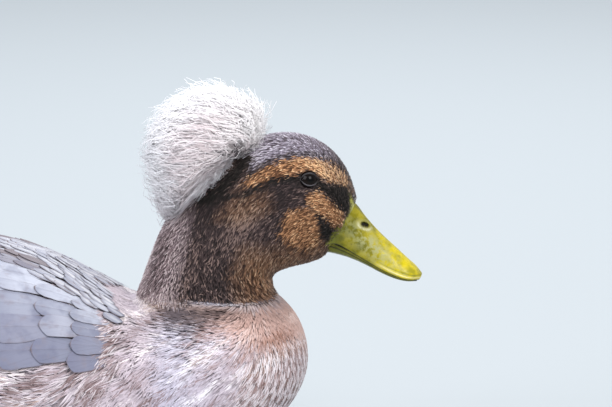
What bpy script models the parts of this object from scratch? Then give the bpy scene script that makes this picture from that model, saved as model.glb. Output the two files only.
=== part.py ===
# Crested duck at rest on its belly, life size, in metres with +Z up and the bill towards +X.
# The origin is the middle of the flat patch of belly that the bird rests on.
import math

import bmesh
import bpy
import numpy as np
from mathutils import Matrix, Vector
from mathutils.bvhtree import BVHTree

MM = 0.001
GAP = 0.35 * MM  # clearance between neighbouring pieces
FLOOR = 0.0

# Rungs of the body from vent to bill, in millimetres. Each runs in the mid plane from the
# underline (x, z) to the topline (x, z), with the half width there and how much the top narrows.
BODY_RUNGS = (
    (-189, 84, -199, 110, 19, 0.00),
    (-170, 63, -182, 124, 38, 0.00),
    (-135, 33, -146, 136, 60, 0.00),
    (-90, 9, -100, 149, 78, 0.00),
    (-45, -4, -52, 156.5, 88, 0.00),
    (2, -7, -8, 154, 90, 0.00),
    (50, -5, 24, 144, 89, 0.02),
    (94, 7, 44, 133.5, 85, 0.02),
    (131, 27, 56, 126.5, 79, 0.02),
    (160, 53, 64, 121.5, 71, 0.02),
    (174.5, 82, 69, 120, 61, 0.02),
    (172.5, 100, 71, 121, 53, 0.00),
    (165.5, 113.5, 72.5, 124, 46, 0.00),
    (155.5, 124.5, 74.5, 130, 38.5, 0.00),
    (153.2, 131, 78, 140, 33.5, 0.00),
    (153.4, 136, 83.5, 155, 30, 0.02),
    (157, 139.5, 91, 171, 28, 0.05),
    (163, 141.8, 103, 190, 27, 0.08),
    (169, 143.4, 122, 208, 26.5, 0.11),
    (174, 144.4, 146, 220.5, 26, 0.13),
    (178, 145.6, 168, 222.5, 25, 0.13),
    (182, 147.2, 187, 214.2, 22.5, 0.12),
    (184.8, 149, 198.5, 199.5, 18, 0.08),
    (186.5, 151, 204.5, 181, 13, 0.04),
)
EVEN_RUNGS = 5  # up to this rung there is one ring a rung, and past it two
BODY_ROUND = 24  # points in each ring
BODY_SQUARE = 2.15  # exponent of the rings, where 2 is an ellipse
NECK_CUT = 13.35  # rungs, counted from the vent, where the neck meets torso and head
HEAD_CUT = 16.3
SLAB_MARGIN = 4 * MM  # how far a cut reaches past the outline

# Head
EYE_X, EYE_Z = 175.9 * MM, 199.2 * MM
EYE_RADIUS = 5.6 * MM
EYE_DEPTH = 3.3 * MM  # how deep the eye's centre lies under the cheek
LID_RADIUS = 5.0 * MM
LID_THICK = 1.0 * MM
LID_LONG, LID_TALL = 1.05, 0.92  # the lids' oval, as shares of their radius
LID_POINTS, LID_SIDES = 16, 5

# Bill rungs from the face to the tip, in millimetres: lower edge (x, z), ridge (x, z), half width
UPPER_BILL = (
    (190.5, 158.5, 204.6, 180.3, 12.4),
    (196, 156.4, 208.5, 174.2, 12.0),
    (203, 152.4, 213.4, 167.6, 11.4),
    (211, 147.2, 220.2, 160.2, 11.0),
    (220, 141.8, 228.5, 152.4, 11.5),
    (229, 137.8, 235.6, 145.6, 12.4),
    (236.5, 135.6, 240.8, 140.6, 11.2),
    (241.6, 134.6, 243.6, 137.2, 6.4),
)
LOWER_BILL = (
    (187.4, 151.2, 190.6, 157.6, 9.6),
    (192.5, 149.6, 195.6, 155.8, 9.8),
    (201, 147.2, 202.8, 151.8, 9.8),
    (210.5, 143, 211.2, 146.4, 9.6),
    (219.6, 138.2, 220, 141.2, 10.0),
    (228.8, 134.6, 229, 137.2, 10.6),
    (236, 133.2, 236.4, 135, 8.8),
    (240.2, 132.9, 240.6, 134, 4.6),
)
NOSTRIL_X, NOSTRIL_Z = 209.1 * MM, 168.2 * MM
NOSTRIL_LENGTH, NOSTRIL_HEIGHT, NOSTRIL_DEPTH = 5.6 * MM, 2.4 * MM, 3.2 * MM
BILL_PITCH = math.radians(27)  # how steeply the nostril lies
BILL_STATIONS = 13
BILL_STEPS = 7  # faces over the dome of each mandible
BILL_DOME = 0.8  # below 1 the dome's sides stand steeper

# Crest, a ball of locks on the back of the crown
CREST_CENTRE = Vector((112.8, 0, 210)) * MM
CREST_LONG = Vector((0.6, 0, 0.8))  # the ball leans forward along this axis
CREST_RADII = Vector((46, 35, 33.5)) * MM  # along the lean, sideways and across both
CREST_POLE = Vector((0.93, 0, -0.37))  # from the ball's centre to where it grows on the head
CREST_CORE = 0.50  # core radius as a share of the ball's
CREST_PAD = 4.5 * MM  # thickness of the pad on the head that the locks grow from
CREST_PAD_SHARE = 0.88  # its reach as a share of the ball's
# Rows of locks: angle of the tips from the pole, in degrees, and how many locks go round
CREST_ROWS = (
    (40, 8), (56, 10), (72, 13), (88, 14), (105, 15), (122, 14), (140, 11), (158, 7), (176, 2),
)
LOCK_TURN = math.radians(54)  # how far a lock lies back round the ball
LOCK_TURN_SHARE = 0.7  # the same, at most, as a share of its tip's angle from the pole
LOCK_WIDTH = 12.5 * MM
LOCK_THICK = 1.5 * MM
LOCK_UNEVEN = 0.05  # how much shorter a lock may be, as a share
LOCK_SEED = 7
# Along a lock: share of its length, of the ball's radius, of its width and of its thickness
LOCK_STATIONS = (
    (0, 0.40, 0.42, 1.0), (0.3, 0.66, 0.80, 1.0), (0.58, 0.86, 1.0, 0.8), (0.82, 0.97, 0.72, 0.6),
    (1, 1.0, 0.16, 0.35),
)

# Folded wing: outline of its bed on the body's side, at stations along x, as angles up from the keel
WING_STATIONS = (66, 52, 24, -20, -70, -120, -158)
WING_LOW = (122, 110.5, 103.5, 102, 105, 113, 127)
WING_HIGH = (139, 151, 160, 163, 164, 163, 157)
WING_BED = 2.8 * MM
WING_EDGE = 0.9 * MM
VANE_THICK = 0.7 * MM
VANE_STEP = 1.05 * MM  # every other feather of a row lies this much higher
VANE_ROOT = 0.9 * MM  # height of a feather over the body at its root
VANE_LIFT = 3.7 * MM  # how much it rises to its tip, to clear the feathers behind it
# Outlines of feathers: share of the length and of the width
VANE_SHAPE = ((0, 0.7), (0.5, 1.0), (0.86, 0.86), (1, 0.3))
QUILL_SHAPE = ((0, 0.75), (0.6, 1.0), (0.88, 0.66), (1, 0.14))
# Wing feathers lie over a guide: rays round this axis, in millimetres, to the body's surface
GUIDE_X = (-260, -198, -165, -120, -60, 90)
GUIDE_Z = (112, 102, 93, 86, 80, 80)
GUIDE_END = -165 * MM  # behind this place the guide narrows evenly
GUIDE_TAPER = 0.40
GUIDE_LEAST = 8 * MM
GUIDE_REACH = 85 * MM  # usual distance from the axis, which turns widths into angles
BED_STATIONS, BED_POINTS = 11, 7
BED_SINK = 1.5 * MM  # how deep the bed starts under the body's surface
VANE_SLANT = (-4, 10)  # degrees at the lowest feather of a tier, and how much more at the highest
VANE_SHIFTS = (-0.05, 0.25)  # every other tier is shifted, in feathers
VANE_SPARE = 0.2  # room at the ends of a tier, in feathers
# Tiers of the wing: root x in millimetres, angles of the lowest and highest root, vanes, length, width
WING_TIERS = (
    (44, 113, 150, 4, 46, 22),
    (16, 107, 160, 5, 52, 24),
    (-16, 105, 161, 5, 56, 26),
    (-50, 106, 161, 5, 60, 26),
    (-86, 109, 160, 5, 66, 24),
)
PRIMARIES = 6
PRIMARY_LENGTH = 92 * MM
PRIMARY_WIDTH = 13 * MM
PRIMARY_THICK = 0.6 * MM
PRIMARY_STEP = 0.95 * MM  # each primary lies this much over the one below
PRIMARY_ROOT = -126 * MM
PRIMARY_ANGLES = (128, 26)  # degrees up from the keel at the lowest one, and how much more at the highest
PRIMARY_SHARES = (0.78, 0.22)  # length of the lowest one as a share, and how much more of the highest
PRIMARY_SLANT = math.radians(2)

# Tail fan
TAIL_ROOT = Vector((-196, 0, 99)) * MM
TAIL_RISE = math.radians(9)
TAIL_VANES = 12
TAIL_LENGTH = 66 * MM
TAIL_WIDTH = 15 * MM
TAIL_SPREAD = math.radians(34)
TAIL_SINK = 10 * MM  # how far behind the body the quills start
TAIL_ROOT_HALF = 9 * MM
TAIL_TOP = 4.6 * MM  # height of the middle feathers over the tail's axis
TAIL_FALL = 7.4 * MM  # how much lower the outermost ones lie
TAIL_STAGGER = 0.45 * MM  # keeps left and right feathers apart where they cross
TAIL_OUTER_SHORTER = 0.26
TAIL_DROOP = 2.5 * MM
# Wedge that carries the tail, in millimetres: reach behind the body, half width, half height, rise
TAIL_WEDGE = (
    (-8, 21, 13.5, 0), (6, 19.5, 12, 1), (20, 16, 8, 2), (31, 11, 4, 3), (37, 5, 1.8, 3.4),
)
# Coverts over and under the tail: heading in degrees, length, root height in millimetres, lean
TAIL_COVERTS = (
    (-14, 30, 8.2, 0.10), (0, 33, 9.4, 0.10), (14, 30, 8.2, 0.10),
    (-8, 32, -12.6, -0.12), (8, 32, -12.6, -0.12),
)
COVERT_WIDTH = 13 * MM
COVERT_START = 2  # millimetres behind the tail's root
COVERT_ASIDE = 0.55  # millimetres sideways for each degree of heading
WEDGE_POINTS = 16

# Legs folded under the flanks
HOCK = Vector((-78, 56, 6.6)) * MM
TOE_ROOT = Vector((-30, 59, 4.4)) * MM
THIGH_TOP = Vector((-46, 50, 36)) * MM
THIGH_RADIUS = 11 * MM
THIGH_STRETCH = 0.56  # half its length as a share of the way from hock to top
THIGH_MIDDLE = 0.46  # where its middle lies on that way
SHANK_STATIONS = (0, 0.12, 0.5)
ANKLE_BACK = 4 * MM
SHANK_RADII = (6.2 * MM, 5.6 * MM, 4.6 * MM, 4.2 * MM)
FOOT_HEADING = math.radians(17)
TOE_ANGLES = (-17, 3, 25)  # inner, middle and outer toe, degrees from the foot's heading
TOE_LENGTHS = (46, 57, 50)
TOE_STATIONS = ((0.5, 1.6), (0.86, 2.4), (1, 3.0))  # share of the length, drop in millimetres
TOE_RADII = (3.6 * MM, 2.6 * MM, 2.2 * MM, 0.9 * MM)
TOE_SINK = 3 * MM  # how far a toe's root lies inside the foot
HIND_TOE = ((4, 0, 0), (9, 6, 2), (14, 10, 3))  # back, inwards and down, in millimetres
HIND_RADII = (2.4 * MM, 1.9 * MM, 0.9 * MM)
WEB_THICK = 1.5 * MM
WEB_REACH = 0.86  # share of each toe that the web reaches
WEB_HOLLOW = 0.74  # the same midway between two toes
FOOT_CLEARANCE = 1.2 * GAP


def clear_scene():
    for old in list(bpy.data.objects):
        bpy.data.objects.remove(old, do_unlink=True)


def plumage(name, colour, roughness=0.75):
    material = bpy.data.materials.new(name)
    material.use_nodes = True
    shader = material.node_tree.nodes["Principled BSDF"]
    shader.inputs["Base Color"].default_value = (*colour, 1)
    shader.inputs["Roughness"].default_value = roughness
    shader.inputs["Metallic"].default_value = 0.0
    return material


def collection(name):
    made = bpy.data.collections.new(name)
    bpy.context.scene.collection.children.link(made)
    return made


def add_object(name, mesh, home):
    made = bpy.data.objects.new(name, mesh)
    home.objects.link(made)
    return made


def spline_through(knots, values, places):
    """Natural cubic spline through values at knots, read at places."""
    knots = np.asarray(knots, float)
    values = np.asarray(values, float)
    steps = np.diff(knots)
    slopes = np.diff(values, axis=0) / steps[:, None]
    matrix = np.eye(len(knots))
    right = np.zeros_like(values)
    for i in range(1, len(knots) - 1):
        matrix[i, i - 1 : i + 2] = steps[i - 1], 2 * (steps[i - 1] + steps[i]), steps[i]
        right[i] = 6 * (slopes[i] - slopes[i - 1])
    bends = np.linalg.solve(matrix, right)
    places = np.atleast_1d(np.asarray(places, float))
    cell = np.clip(np.searchsorted(knots, places) - 1, 0, len(steps) - 1)
    h = steps[cell][:, None]
    before = (places - knots[cell])[:, None]
    after = h - before
    return (
        (bends[cell] * after**3 + bends[cell + 1] * before**3) / (6 * h)
        + (values[cell] / h - bends[cell] * h / 6) * after
        + (values[cell + 1] / h - bends[cell + 1] * h / 6) * before
    )


def rung_knots(rungs):
    """Distance along the rungs' middles, so that a spline through them runs evenly."""
    rungs = np.asarray(rungs, float)
    lower = np.linalg.norm(np.diff(rungs[:, 0:2], axis=0), axis=1)
    upper = np.linalg.norm(np.diff(rungs[:, 2:4], axis=0), axis=1)
    return np.concatenate([[0], np.cumsum(0.5 * (lower + upper))])


def ring_of(rung, count, square):
    """Points round one rung, from the underline over the left side to the topline and back."""
    under_x, under_z, over_x, over_z, half, narrow = rung
    points = []
    for k in range(count):
        angle = 2 * math.pi * k / count
        up = -math.copysign(abs(math.cos(angle)) ** (2 / square), math.cos(angle))
        out = math.copysign(abs(math.sin(angle)) ** (2 / square), math.sin(angle))
        x = (under_x + over_x) / 2 + up * (over_x - under_x) / 2
        z = (under_z + over_z) / 2 + up * (over_z - under_z) / 2
        points.append(Vector((x, out * half * (1 - narrow * up), z)) * MM)
    return points


def loft(rings, closed_ends=True):
    """Mesh through rings of equal count, its ends closed by flat caps."""
    mesh = bmesh.new()
    rows = [[mesh.verts.new(p) for p in ring] for ring in rings]
    count = len(rows[0])
    for here, there in zip(rows, rows[1:]):
        for k in range(count):
            following = (k + 1) % count
            mesh.faces.new((here[k], there[k], there[following], here[following]))
    if closed_ends:
        mesh.faces.new(rows[0])
        mesh.faces.new(reversed(rows[-1]))
    bmesh.ops.recalc_face_normals(mesh, faces=mesh.faces)
    return mesh


def to_mesh(shape, name):
    made = bpy.data.meshes.new(name)
    shape.to_mesh(made)
    shape.free()
    made.shade_smooth()
    made.set_sharp_from_angle(angle=math.radians(50))
    return made


def body_shape(grow=0.0):
    """The whole body from vent to bill, swollen by grow, with its belly flat on the floor."""
    knots = rung_knots(BODY_RUNGS)
    last = len(knots) - 1
    halves = np.linspace(EVEN_RUNGS, last, 2 * (last - EVEN_RUNGS) + 1)
    counts = np.concatenate([np.arange(EVEN_RUNGS), halves])
    rungs = spline_through(knots, BODY_RUNGS, np.interp(counts, range(last + 1), knots))
    shape = loft([ring_of(rung, BODY_ROUND, BODY_SQUARE) for rung in rungs])
    if grow:
        bmesh.ops.recalc_face_normals(shape, faces=shape.faces)
        shape.normal_update()
        moved = [vert.co + vert.normal * grow for vert in shape.verts]
        for vert, place in zip(shape.verts, moved):
            vert.co = place
    lowest = FLOOR - grow
    for vert in shape.verts:
        vert.co.z = max(vert.co.z, lowest)
    bmesh.ops.triangulate(shape, faces=shape.faces, quad_method="FIXED")
    return shape


def rung_at(count):
    """The rung that many rungs from the vent, with the body's spline between them."""
    knots = rung_knots(BODY_RUNGS)
    place = np.interp(count, range(len(knots)), knots)
    return spline_through(knots, BODY_RUNGS, [place])[0]


def cutting_slab(name, count, home):
    """A thin slab across the body at a rung, just past its outline."""
    under_x, under_z, over_x, over_z, half, _ = rung_at(count)
    under = Vector((under_x, 0, under_z)) * MM
    over = Vector((over_x, 0, over_z)) * MM
    run = over - under
    shape = bmesh.new()
    bmesh.ops.create_cube(shape, size=1)
    bmesh.ops.scale(
        shape,
        vec=(run.length + 2 * SLAB_MARGIN, 2 * (half * MM + SLAB_MARGIN), GAP),
        verts=shape.verts,
    )
    turn = run.normalized().to_track_quat("X", "Z").to_matrix().to_4x4()
    bmesh.ops.transform(shape, matrix=turn, verts=shape.verts)
    bmesh.ops.translate(shape, vec=(under + over) / 2, verts=shape.verts)
    slab = add_object(name, to_mesh(shape, name), home)
    hide_helper(slab)
    return slab


def hide_helper(helper):
    helper.hide_render = True
    helper.display_type = "WIRE"


def apply_modifiers(target):
    """Replaces the object's mesh by its evaluated mesh."""
    graph = bpy.context.evaluated_depsgraph_get()
    made = bpy.data.meshes.new_from_object(target.evaluated_get(graph))
    target.modifiers.clear()
    target.data = made


def boolean(target, operation, other=None, others=None, solver="EXACT"):
    """Joins or cuts target by an object, or by all the objects of a collection."""
    step = target.modifiers.new(operation.title(), "BOOLEAN")
    step.operation = operation
    step.solver = solver
    if others is None:
        step.object = other
    else:
        step.operand_type = "COLLECTION"
        step.collection = others
    apply_modifiers(target)


def join_pieces(target, pieces):
    """Fuses the collection's closed pieces into target and removes them."""
    boolean(target, "UNION", others=pieces, solver="MANIFOLD")
    for piece in list(pieces.objects):
        bpy.data.objects.remove(piece, do_unlink=True)
    bpy.data.collections.remove(pieces)
    keep_largest(target)


def islands_of(shape):
    """Lists of connected faces."""
    left = set(shape.faces)
    found = []
    while left:
        first = next(iter(left))
        left.discard(first)
        island, edge_faces = [first], [first]
        while edge_faces:
            face = edge_faces.pop()
            for edge in face.edges:
                for other in edge.link_faces:
                    if other in left:
                        left.discard(other)
                        island.append(other)
                        edge_faces.append(other)
        found.append(island)
    return found


def extent_of(faces):
    places = np.array([vert.co for face in faces for vert in face.verts])
    return float(np.prod(places.max(0) - places.min(0)))


def keep_largest(target):
    """Drops all but the largest closed surface."""
    shape = bmesh.new()
    shape.from_mesh(target.data)
    shape.faces.ensure_lookup_table()
    islands = sorted(islands_of(shape), key=extent_of, reverse=True)
    scraps = [face for island in islands[1:] for face in island]
    if scraps:
        bmesh.ops.delete(shape, geom=scraps, context="FACES")
    shape.to_mesh(target.data)
    shape.free()


def finish_node(target, material):
    target.data.materials.clear()
    target.data.materials.append(material)
    target.data.shade_smooth()
    target.data.set_sharp_from_angle(angle=math.radians(50))


def torso_neck_head(duck, helpers, plume, face):
    """The body, parted by two thin cuts."""
    body = add_object("torso", to_mesh(body_shape(), "torso"), duck)
    for name, count in (("neck_cut", NECK_CUT), ("head_cut", HEAD_CUT)):
        boolean(body, "DIFFERENCE", other=cutting_slab(name, count, helpers))
    whole = bmesh.new()
    whole.from_mesh(body.data)
    whole.faces.ensure_lookup_table()
    islands = islands_of(whole)
    islands.sort(key=lambda faces: np.mean([face.calc_center_median()[0] for face in faces]))
    groups = [{face.index for face in island} for island in islands]
    whole.free()
    parts = []
    for name, group in zip(("torso", "neck", "head"), groups):
        shape = bmesh.new()
        shape.from_mesh(body.data)
        others = [face for face in shape.faces if face.index not in group]
        bmesh.ops.delete(shape, geom=others, context="FACES")
        parts.append((name, to_mesh(shape, name)))
    bpy.data.objects.remove(body, do_unlink=True)
    made = {}
    for name, mesh in parts:
        made[name] = add_object(name, mesh, duck)
        finish_node(made[name], face if name == "head" else plume)
    return made


def side_point(tree, x, z, side):
    """Where the body's surface lies at x and z on one side, and its normal there."""
    start = Vector((x, side * 0.2, z))
    place, normal, _, _ = tree.ray_cast(start, Vector((0, -side, 0)))
    return place, normal


def sphere(name, centre, radius, home, rings=8):
    shape = bmesh.new()
    bmesh.ops.create_uvsphere(shape, u_segments=2 * rings, v_segments=rings, radius=radius)
    bmesh.ops.translate(shape, vec=centre, verts=shape.verts)
    return add_object(name, to_mesh(shape, name), home)


def eyes_and_lids(tree, duck, helpers, head, eye_material, face):
    """An eyeball in a socket on each side, ringed by its lids."""
    for side, word in ((1, "left"), (-1, "right")):
        surface, normal = side_point(tree, EYE_X, EYE_Z, side)
        centre = surface - normal * EYE_DEPTH
        eye = sphere("eye_" + word, centre, EYE_RADIUS, duck)
        finish_node(eye, eye_material)
        lids = collection("lids")
        ring = [
            Vector((LID_LONG * math.cos(a), LID_TALL * math.sin(a), 0)) * LID_RADIUS
            for a in np.linspace(0, 2 * math.pi, LID_POINTS, endpoint=False)
        ]
        rows = []
        for place in ring:
            outward = place.normalized()
            rows.append(
                [
                    place + outward * LID_THICK * math.cos(b) + Vector((0, 0, LID_THICK * math.sin(b)))
                    for b in np.linspace(0, 2 * math.pi, LID_SIDES, endpoint=False)
                ]
            )
        shape = loft(rows + rows[:1], closed_ends=False)
        bmesh.ops.remove_doubles(shape, verts=shape.verts, dist=1e-6)
        bmesh.ops.recalc_face_normals(shape, faces=shape.faces)
        turn = normal.to_track_quat("Z", "X").to_matrix().to_4x4()
        bmesh.ops.transform(shape, matrix=Matrix.Translation(surface) @ turn, verts=shape.verts)
        add_object("lid", to_mesh(shape, "lid"), lids)
        join_pieces(head, lids)
        socket = sphere("socket_" + word, centre, EYE_RADIUS + GAP, helpers)
        hide_helper(socket)
        boolean(head, "DIFFERENCE", other=socket)
        keep_largest(head)
    finish_node(head, face)


def bill_rings(rungs, flat_low):
    """Rings of a mandible: a dome over a flat edge, or the same the other way up."""
    knots = rung_knots(rungs)
    rows = spline_through(knots, rungs, np.linspace(0, knots[-1], BILL_STATIONS))
    rings = []
    for low_x, low_z, high_x, high_z, half in rows:
        low, high = Vector((low_x, 0, low_z)), Vector((high_x, 0, high_z))
        ring = []
        for k in range(BILL_STEPS + 1):
            angle = math.pi * k / BILL_STEPS
            rise = math.sin(angle) ** BILL_DOME
            share = rise if flat_low else 1 - rise
            middle = low.lerp(high, share)
            ring.append(Vector((middle.x, half * math.cos(angle), middle.z)) * MM)
        rings.append(ring)
    return rings


def face_plane():
    """Plane of the body's front cap, moved out by the gap."""
    under_x, under_z, over_x, over_z, _, _ = BODY_RUNGS[-1]
    under, over = Vector((under_x, 0, under_z)) * MM, Vector((over_x, 0, over_z)) * MM
    normal = Vector((0, 1, 0)).cross(over - under).normalized()
    if normal.x < 0:
        normal = -normal
    return under + normal * GAP, normal


def bill(duck, helpers, material):
    place, normal = face_plane()
    for name, rungs, flat_low in (("bill_upper", UPPER_BILL, True), ("bill_lower", LOWER_BILL, False)):
        rings = bill_rings(rungs, flat_low)
        for point in rings[0]:
            point -= normal * (point - place).dot(normal)
        mandible = add_object(name, to_mesh(loft(rings), name), duck)
        finish_node(mandible, material)
    upper = duck.objects["bill_upper"]
    for side in (1, -1):
        shape = bmesh.new()
        bmesh.ops.create_uvsphere(shape, u_segments=12, v_segments=6, radius=1)
        bmesh.ops.scale(
            shape, vec=(NOSTRIL_LENGTH / 2, NOSTRIL_DEPTH, NOSTRIL_HEIGHT / 2), verts=shape.verts
        )
        turn = Matrix.Rotation(BILL_PITCH, 4, "Y")
        bmesh.ops.transform(shape, matrix=turn, verts=shape.verts)
        tree = BVHTree.FromObject(upper, bpy.context.evaluated_depsgraph_get())
        surface, _ = side_point(tree, NOSTRIL_X, NOSTRIL_Z, side)
        bmesh.ops.translate(shape, vec=surface, verts=shape.verts)
        nostril = add_object("nostril", to_mesh(shape, "nostril"), helpers)
        hide_helper(nostril)
        boolean(upper, "DIFFERENCE", other=nostril)
    finish_node(upper, material)


def crest_frame():
    """Axes of the crest's ball: its pole, a sideways axis and a third across both."""
    pole = CREST_POLE.normalized()
    side = Vector((0, 1, 0))
    return pole, side, pole.cross(side)


def crest_point(turn, around, share):
    """Point of the ball at an angle from the pole, an angle round it and a share of its radius."""
    pole, side, across = crest_frame()
    way = pole * math.cos(turn) + (side * math.cos(around) + across * math.sin(around)) * math.sin(turn)
    axes = (CREST_LONG, side, CREST_LONG.cross(side))
    radius = 1 / math.sqrt(sum((way.dot(axis) / reach) ** 2 for axis, reach in zip(axes, CREST_RADII)))
    return CREST_CENTRE + way * radius * share, way


def blade_ring(centre, across, out, width, thick):
    """The four corners of a flat blade's section, broad faces first and third."""
    half, lift = across * width / 2, out * thick / 2
    return [centre + half + lift, centre - half + lift, centre - half - lift, centre + half - lift]


def blade(rings):
    """Closes rings of four corners. Both broad faces are split along the same diagonals."""
    shape = bmesh.new()
    rows = [[shape.verts.new(p) for p in ring] for ring in rings]
    for here, there in zip(rows, rows[1:]):
        for k in range(4):
            following = (k + 1) % 4
            a, b, c, d = here[k], there[k], there[following], here[following]
            turned = k == 2
            for half in ((a, b, d), (b, c, d)) if turned else ((a, b, c), (a, c, d)):
                shape.faces.new(half)
    for ring in (rows[0], rows[-1]):
        shape.faces.new((ring[0], ring[1], ring[2]))
        shape.faces.new((ring[0], ring[2], ring[3]))
    bmesh.ops.recalc_face_normals(shape, faces=shape.faces)
    return shape


def crest_lock(turn, around, length_share):
    """One lock, from inside the core to its tip on the ball, bending back along the ball."""
    lie = min(LOCK_TURN, LOCK_TURN_SHARE * turn)
    rings = []
    for along, out_share, wide, thick in LOCK_STATIONS:
        centre, way = crest_point(turn - lie * (1 - along), around, out_share * length_share)
        ahead, _ = crest_point(turn - lie * (1 - along) + 0.02, around, out_share * length_share)
        run = (ahead - centre).normalized()
        out = (way - run * way.dot(run)).normalized()
        across = run.cross(way).normalized()
        rings.append(blade_ring(centre, across, out, wide * LOCK_WIDTH, thick * LOCK_THICK))
    return blade(rings)


def crest_ball(name, share, fineness, home):
    """The crest's leaning ball at a share of its size."""
    shape = bmesh.new()
    bmesh.ops.create_icosphere(shape, subdivisions=fineness, radius=1)
    bmesh.ops.scale(shape, vec=CREST_RADII * share, verts=shape.verts)
    lean = CREST_LONG.to_track_quat("X", "Z").to_matrix()
    bmesh.ops.rotate(shape, matrix=lean, cent=(0, 0, 0), verts=shape.verts)
    bmesh.ops.translate(shape, vec=CREST_CENTRE, verts=shape.verts)
    return add_object(name, to_mesh(shape, name), home)


def crest(duck, helpers, grown_body, material):
    """Core, pad and locks fused into one body, then cut clear of head and neck."""
    ball = crest_ball("crest", CREST_CORE, 2, duck)
    pieces = collection("locks")
    pad = crest_ball("pad", CREST_PAD_SHARE, 2, pieces)
    thick_body = add_object("thick_body", to_mesh(body_shape(CREST_PAD), "thick"), helpers)
    hide_helper(thick_body)
    boolean(pad, "INTERSECT", other=thick_body)
    draw = np.random.default_rng(LOCK_SEED)
    for row, (turn, count) in enumerate(CREST_ROWS):
        for k in range(count):
            around = 2 * math.pi * (k + 0.5 * (row % 2)) / count
            uneven = 1 - LOCK_UNEVEN * draw.random()
            lock = crest_lock(math.radians(turn), around, uneven)
            add_object(f"lock_{row}_{k}", to_mesh(lock, "lock"), pieces)
    join_pieces(ball, pieces)
    boolean(ball, "DIFFERENCE", other=grown_body)
    keep_largest(ball)
    finish_node(ball, material)


def wing_guide(tree):
    """Function from (x, angle up from the keel, height) to a point over the body's side."""
    axis_x = np.array(GUIDE_X) * MM
    axis_z = np.array(GUIDE_Z) * MM

    def radius_at(x, angle):
        z = float(np.interp(x, axis_x, axis_z))
        way = Vector((0, math.sin(angle), -math.cos(angle)))
        hit = tree.ray_cast(Vector((x, 0, z)), way)
        return (hit[0] - Vector((x, 0, z))).length if hit[0] else 0.0

    def place(x, angle, height):
        radius = radius_at(x, angle)
        if x < GUIDE_END:
            rear = radius_at(GUIDE_END, angle) - GUIDE_TAPER * (GUIDE_END - x)
            radius = max(radius, rear, GUIDE_LEAST)
        z = float(np.interp(x, axis_x, axis_z))
        reach = radius + height
        return Vector((x, reach * math.sin(angle), z - reach * math.cos(angle)))

    return place


def wing_bed(place):
    """A thin bed over the body's side, thickest in its middle."""
    stations = np.linspace(WING_STATIONS[0], WING_STATIONS[-1], BED_STATIONS)
    rows = list(reversed(WING_STATIONS))
    low = spline_through(rows, np.array(WING_LOW[::-1])[:, None], stations)[:, 0]
    high = spline_through(rows, np.array(WING_HIGH[::-1])[:, None], stations)[:, 0]
    rings = []
    for i, x in enumerate(stations):
        outer, inner = [], []
        for j in range(BED_POINTS):
            share = j / (BED_POINTS - 1)
            angle = math.radians(low[i] + (high[i] - low[i]) * share)
            rim = i in (0, BED_STATIONS - 1) or j in (0, BED_POINTS - 1)
            outer.append(place(x * MM, angle, WING_EDGE if rim else WING_BED))
            inner.append(place(x * MM, angle, -BED_SINK))
        rings.append(outer + inner[::-1])
    return loft(rings)


def vane(place, x, angle, slant, length, width, heights, shape=VANE_SHAPE, thick=VANE_THICK):
    """A feather over the guide: root at x and angle, running back and up by slant."""
    rings = []
    for along, wide in shape:
        back = length * along
        centre_x = x - back * math.cos(slant)
        centre_angle = angle + back * math.sin(slant) / GUIDE_REACH
        height = heights[0] + (heights[1] - heights[0]) * along
        half = wide * width / 2
        rings.append(
            [
                place(
                    centre_x + side * half * math.sin(slant),
                    centre_angle + side * half * math.cos(slant) / GUIDE_REACH,
                    height + lift * thick / 2,
                )
                for side, lift in ((1, 1), (-1, 1), (-1, -1), (1, -1))
            ]
        )
    return blade(rings)


def mirrored(shape):
    """The same shape on the bird's right."""
    copy = shape.copy()
    for vert in copy.verts:
        vert.co.y = -vert.co.y
    bmesh.ops.reverse_faces(copy, faces=copy.faces)
    return copy


def wings(tree, duck, grown_body, material):
    """Both folded wings: a bed, tiers of vanes lying over it and the primaries behind."""
    place = wing_guide(tree)
    shapes = []
    for tier, (x, low, high, count, length, width) in enumerate(WING_TIERS):
        for k in range(count):
            share = (k + VANE_SHIFTS[tier % 2]) / (count - 1 + VANE_SPARE)
            angle = math.radians(low + (high - low) * min(max(share, 0), 1))
            slant = math.radians(VANE_SLANT[0] + VANE_SLANT[1] * share)
            raised = (k % 2) * VANE_STEP
            heights = (VANE_ROOT + raised, VANE_ROOT + VANE_LIFT + raised)
            shapes.append(vane(place, x * MM, angle, slant, length * MM, width * MM, heights))
    for k in range(PRIMARIES):
        share = k / (PRIMARIES - 1)
        angle = math.radians(PRIMARY_ANGLES[0] + PRIMARY_ANGLES[1] * share)
        length = PRIMARY_LENGTH * (PRIMARY_SHARES[0] + PRIMARY_SHARES[1] * share)
        height = PRIMARY_THICK + k * PRIMARY_STEP
        shapes.append(
            vane(
                place, PRIMARY_ROOT, angle, PRIMARY_SLANT, length, PRIMARY_WIDTH,
                (height, height), QUILL_SHAPE, PRIMARY_THICK,
            )
        )
    for side, word in ((1, "left"), (-1, "right")):
        bed_shape = wing_bed(place)
        if side < 0:
            bed_shape = mirrored(bed_shape)
        bed = add_object("wing_" + word, to_mesh(bed_shape, "wing"), duck)
        pieces = collection("vanes")
        for shape in shapes:
            own = shape.copy() if side > 0 else mirrored(shape)
            add_object("vane", to_mesh(own, "vane"), pieces)
        join_pieces(bed, pieces)
        boolean(bed, "DIFFERENCE", other=grown_body, solver="MANIFOLD")
        keep_largest(bed)
        finish_node(bed, material)
    for shape in shapes:
        shape.free()


def tail_axes():
    """Directions of the tail: back along it and up across it."""
    back = Vector((-math.cos(TAIL_RISE), 0, math.sin(TAIL_RISE)))
    return back, Vector((math.sin(TAIL_RISE), 0, math.cos(TAIL_RISE)))


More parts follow.
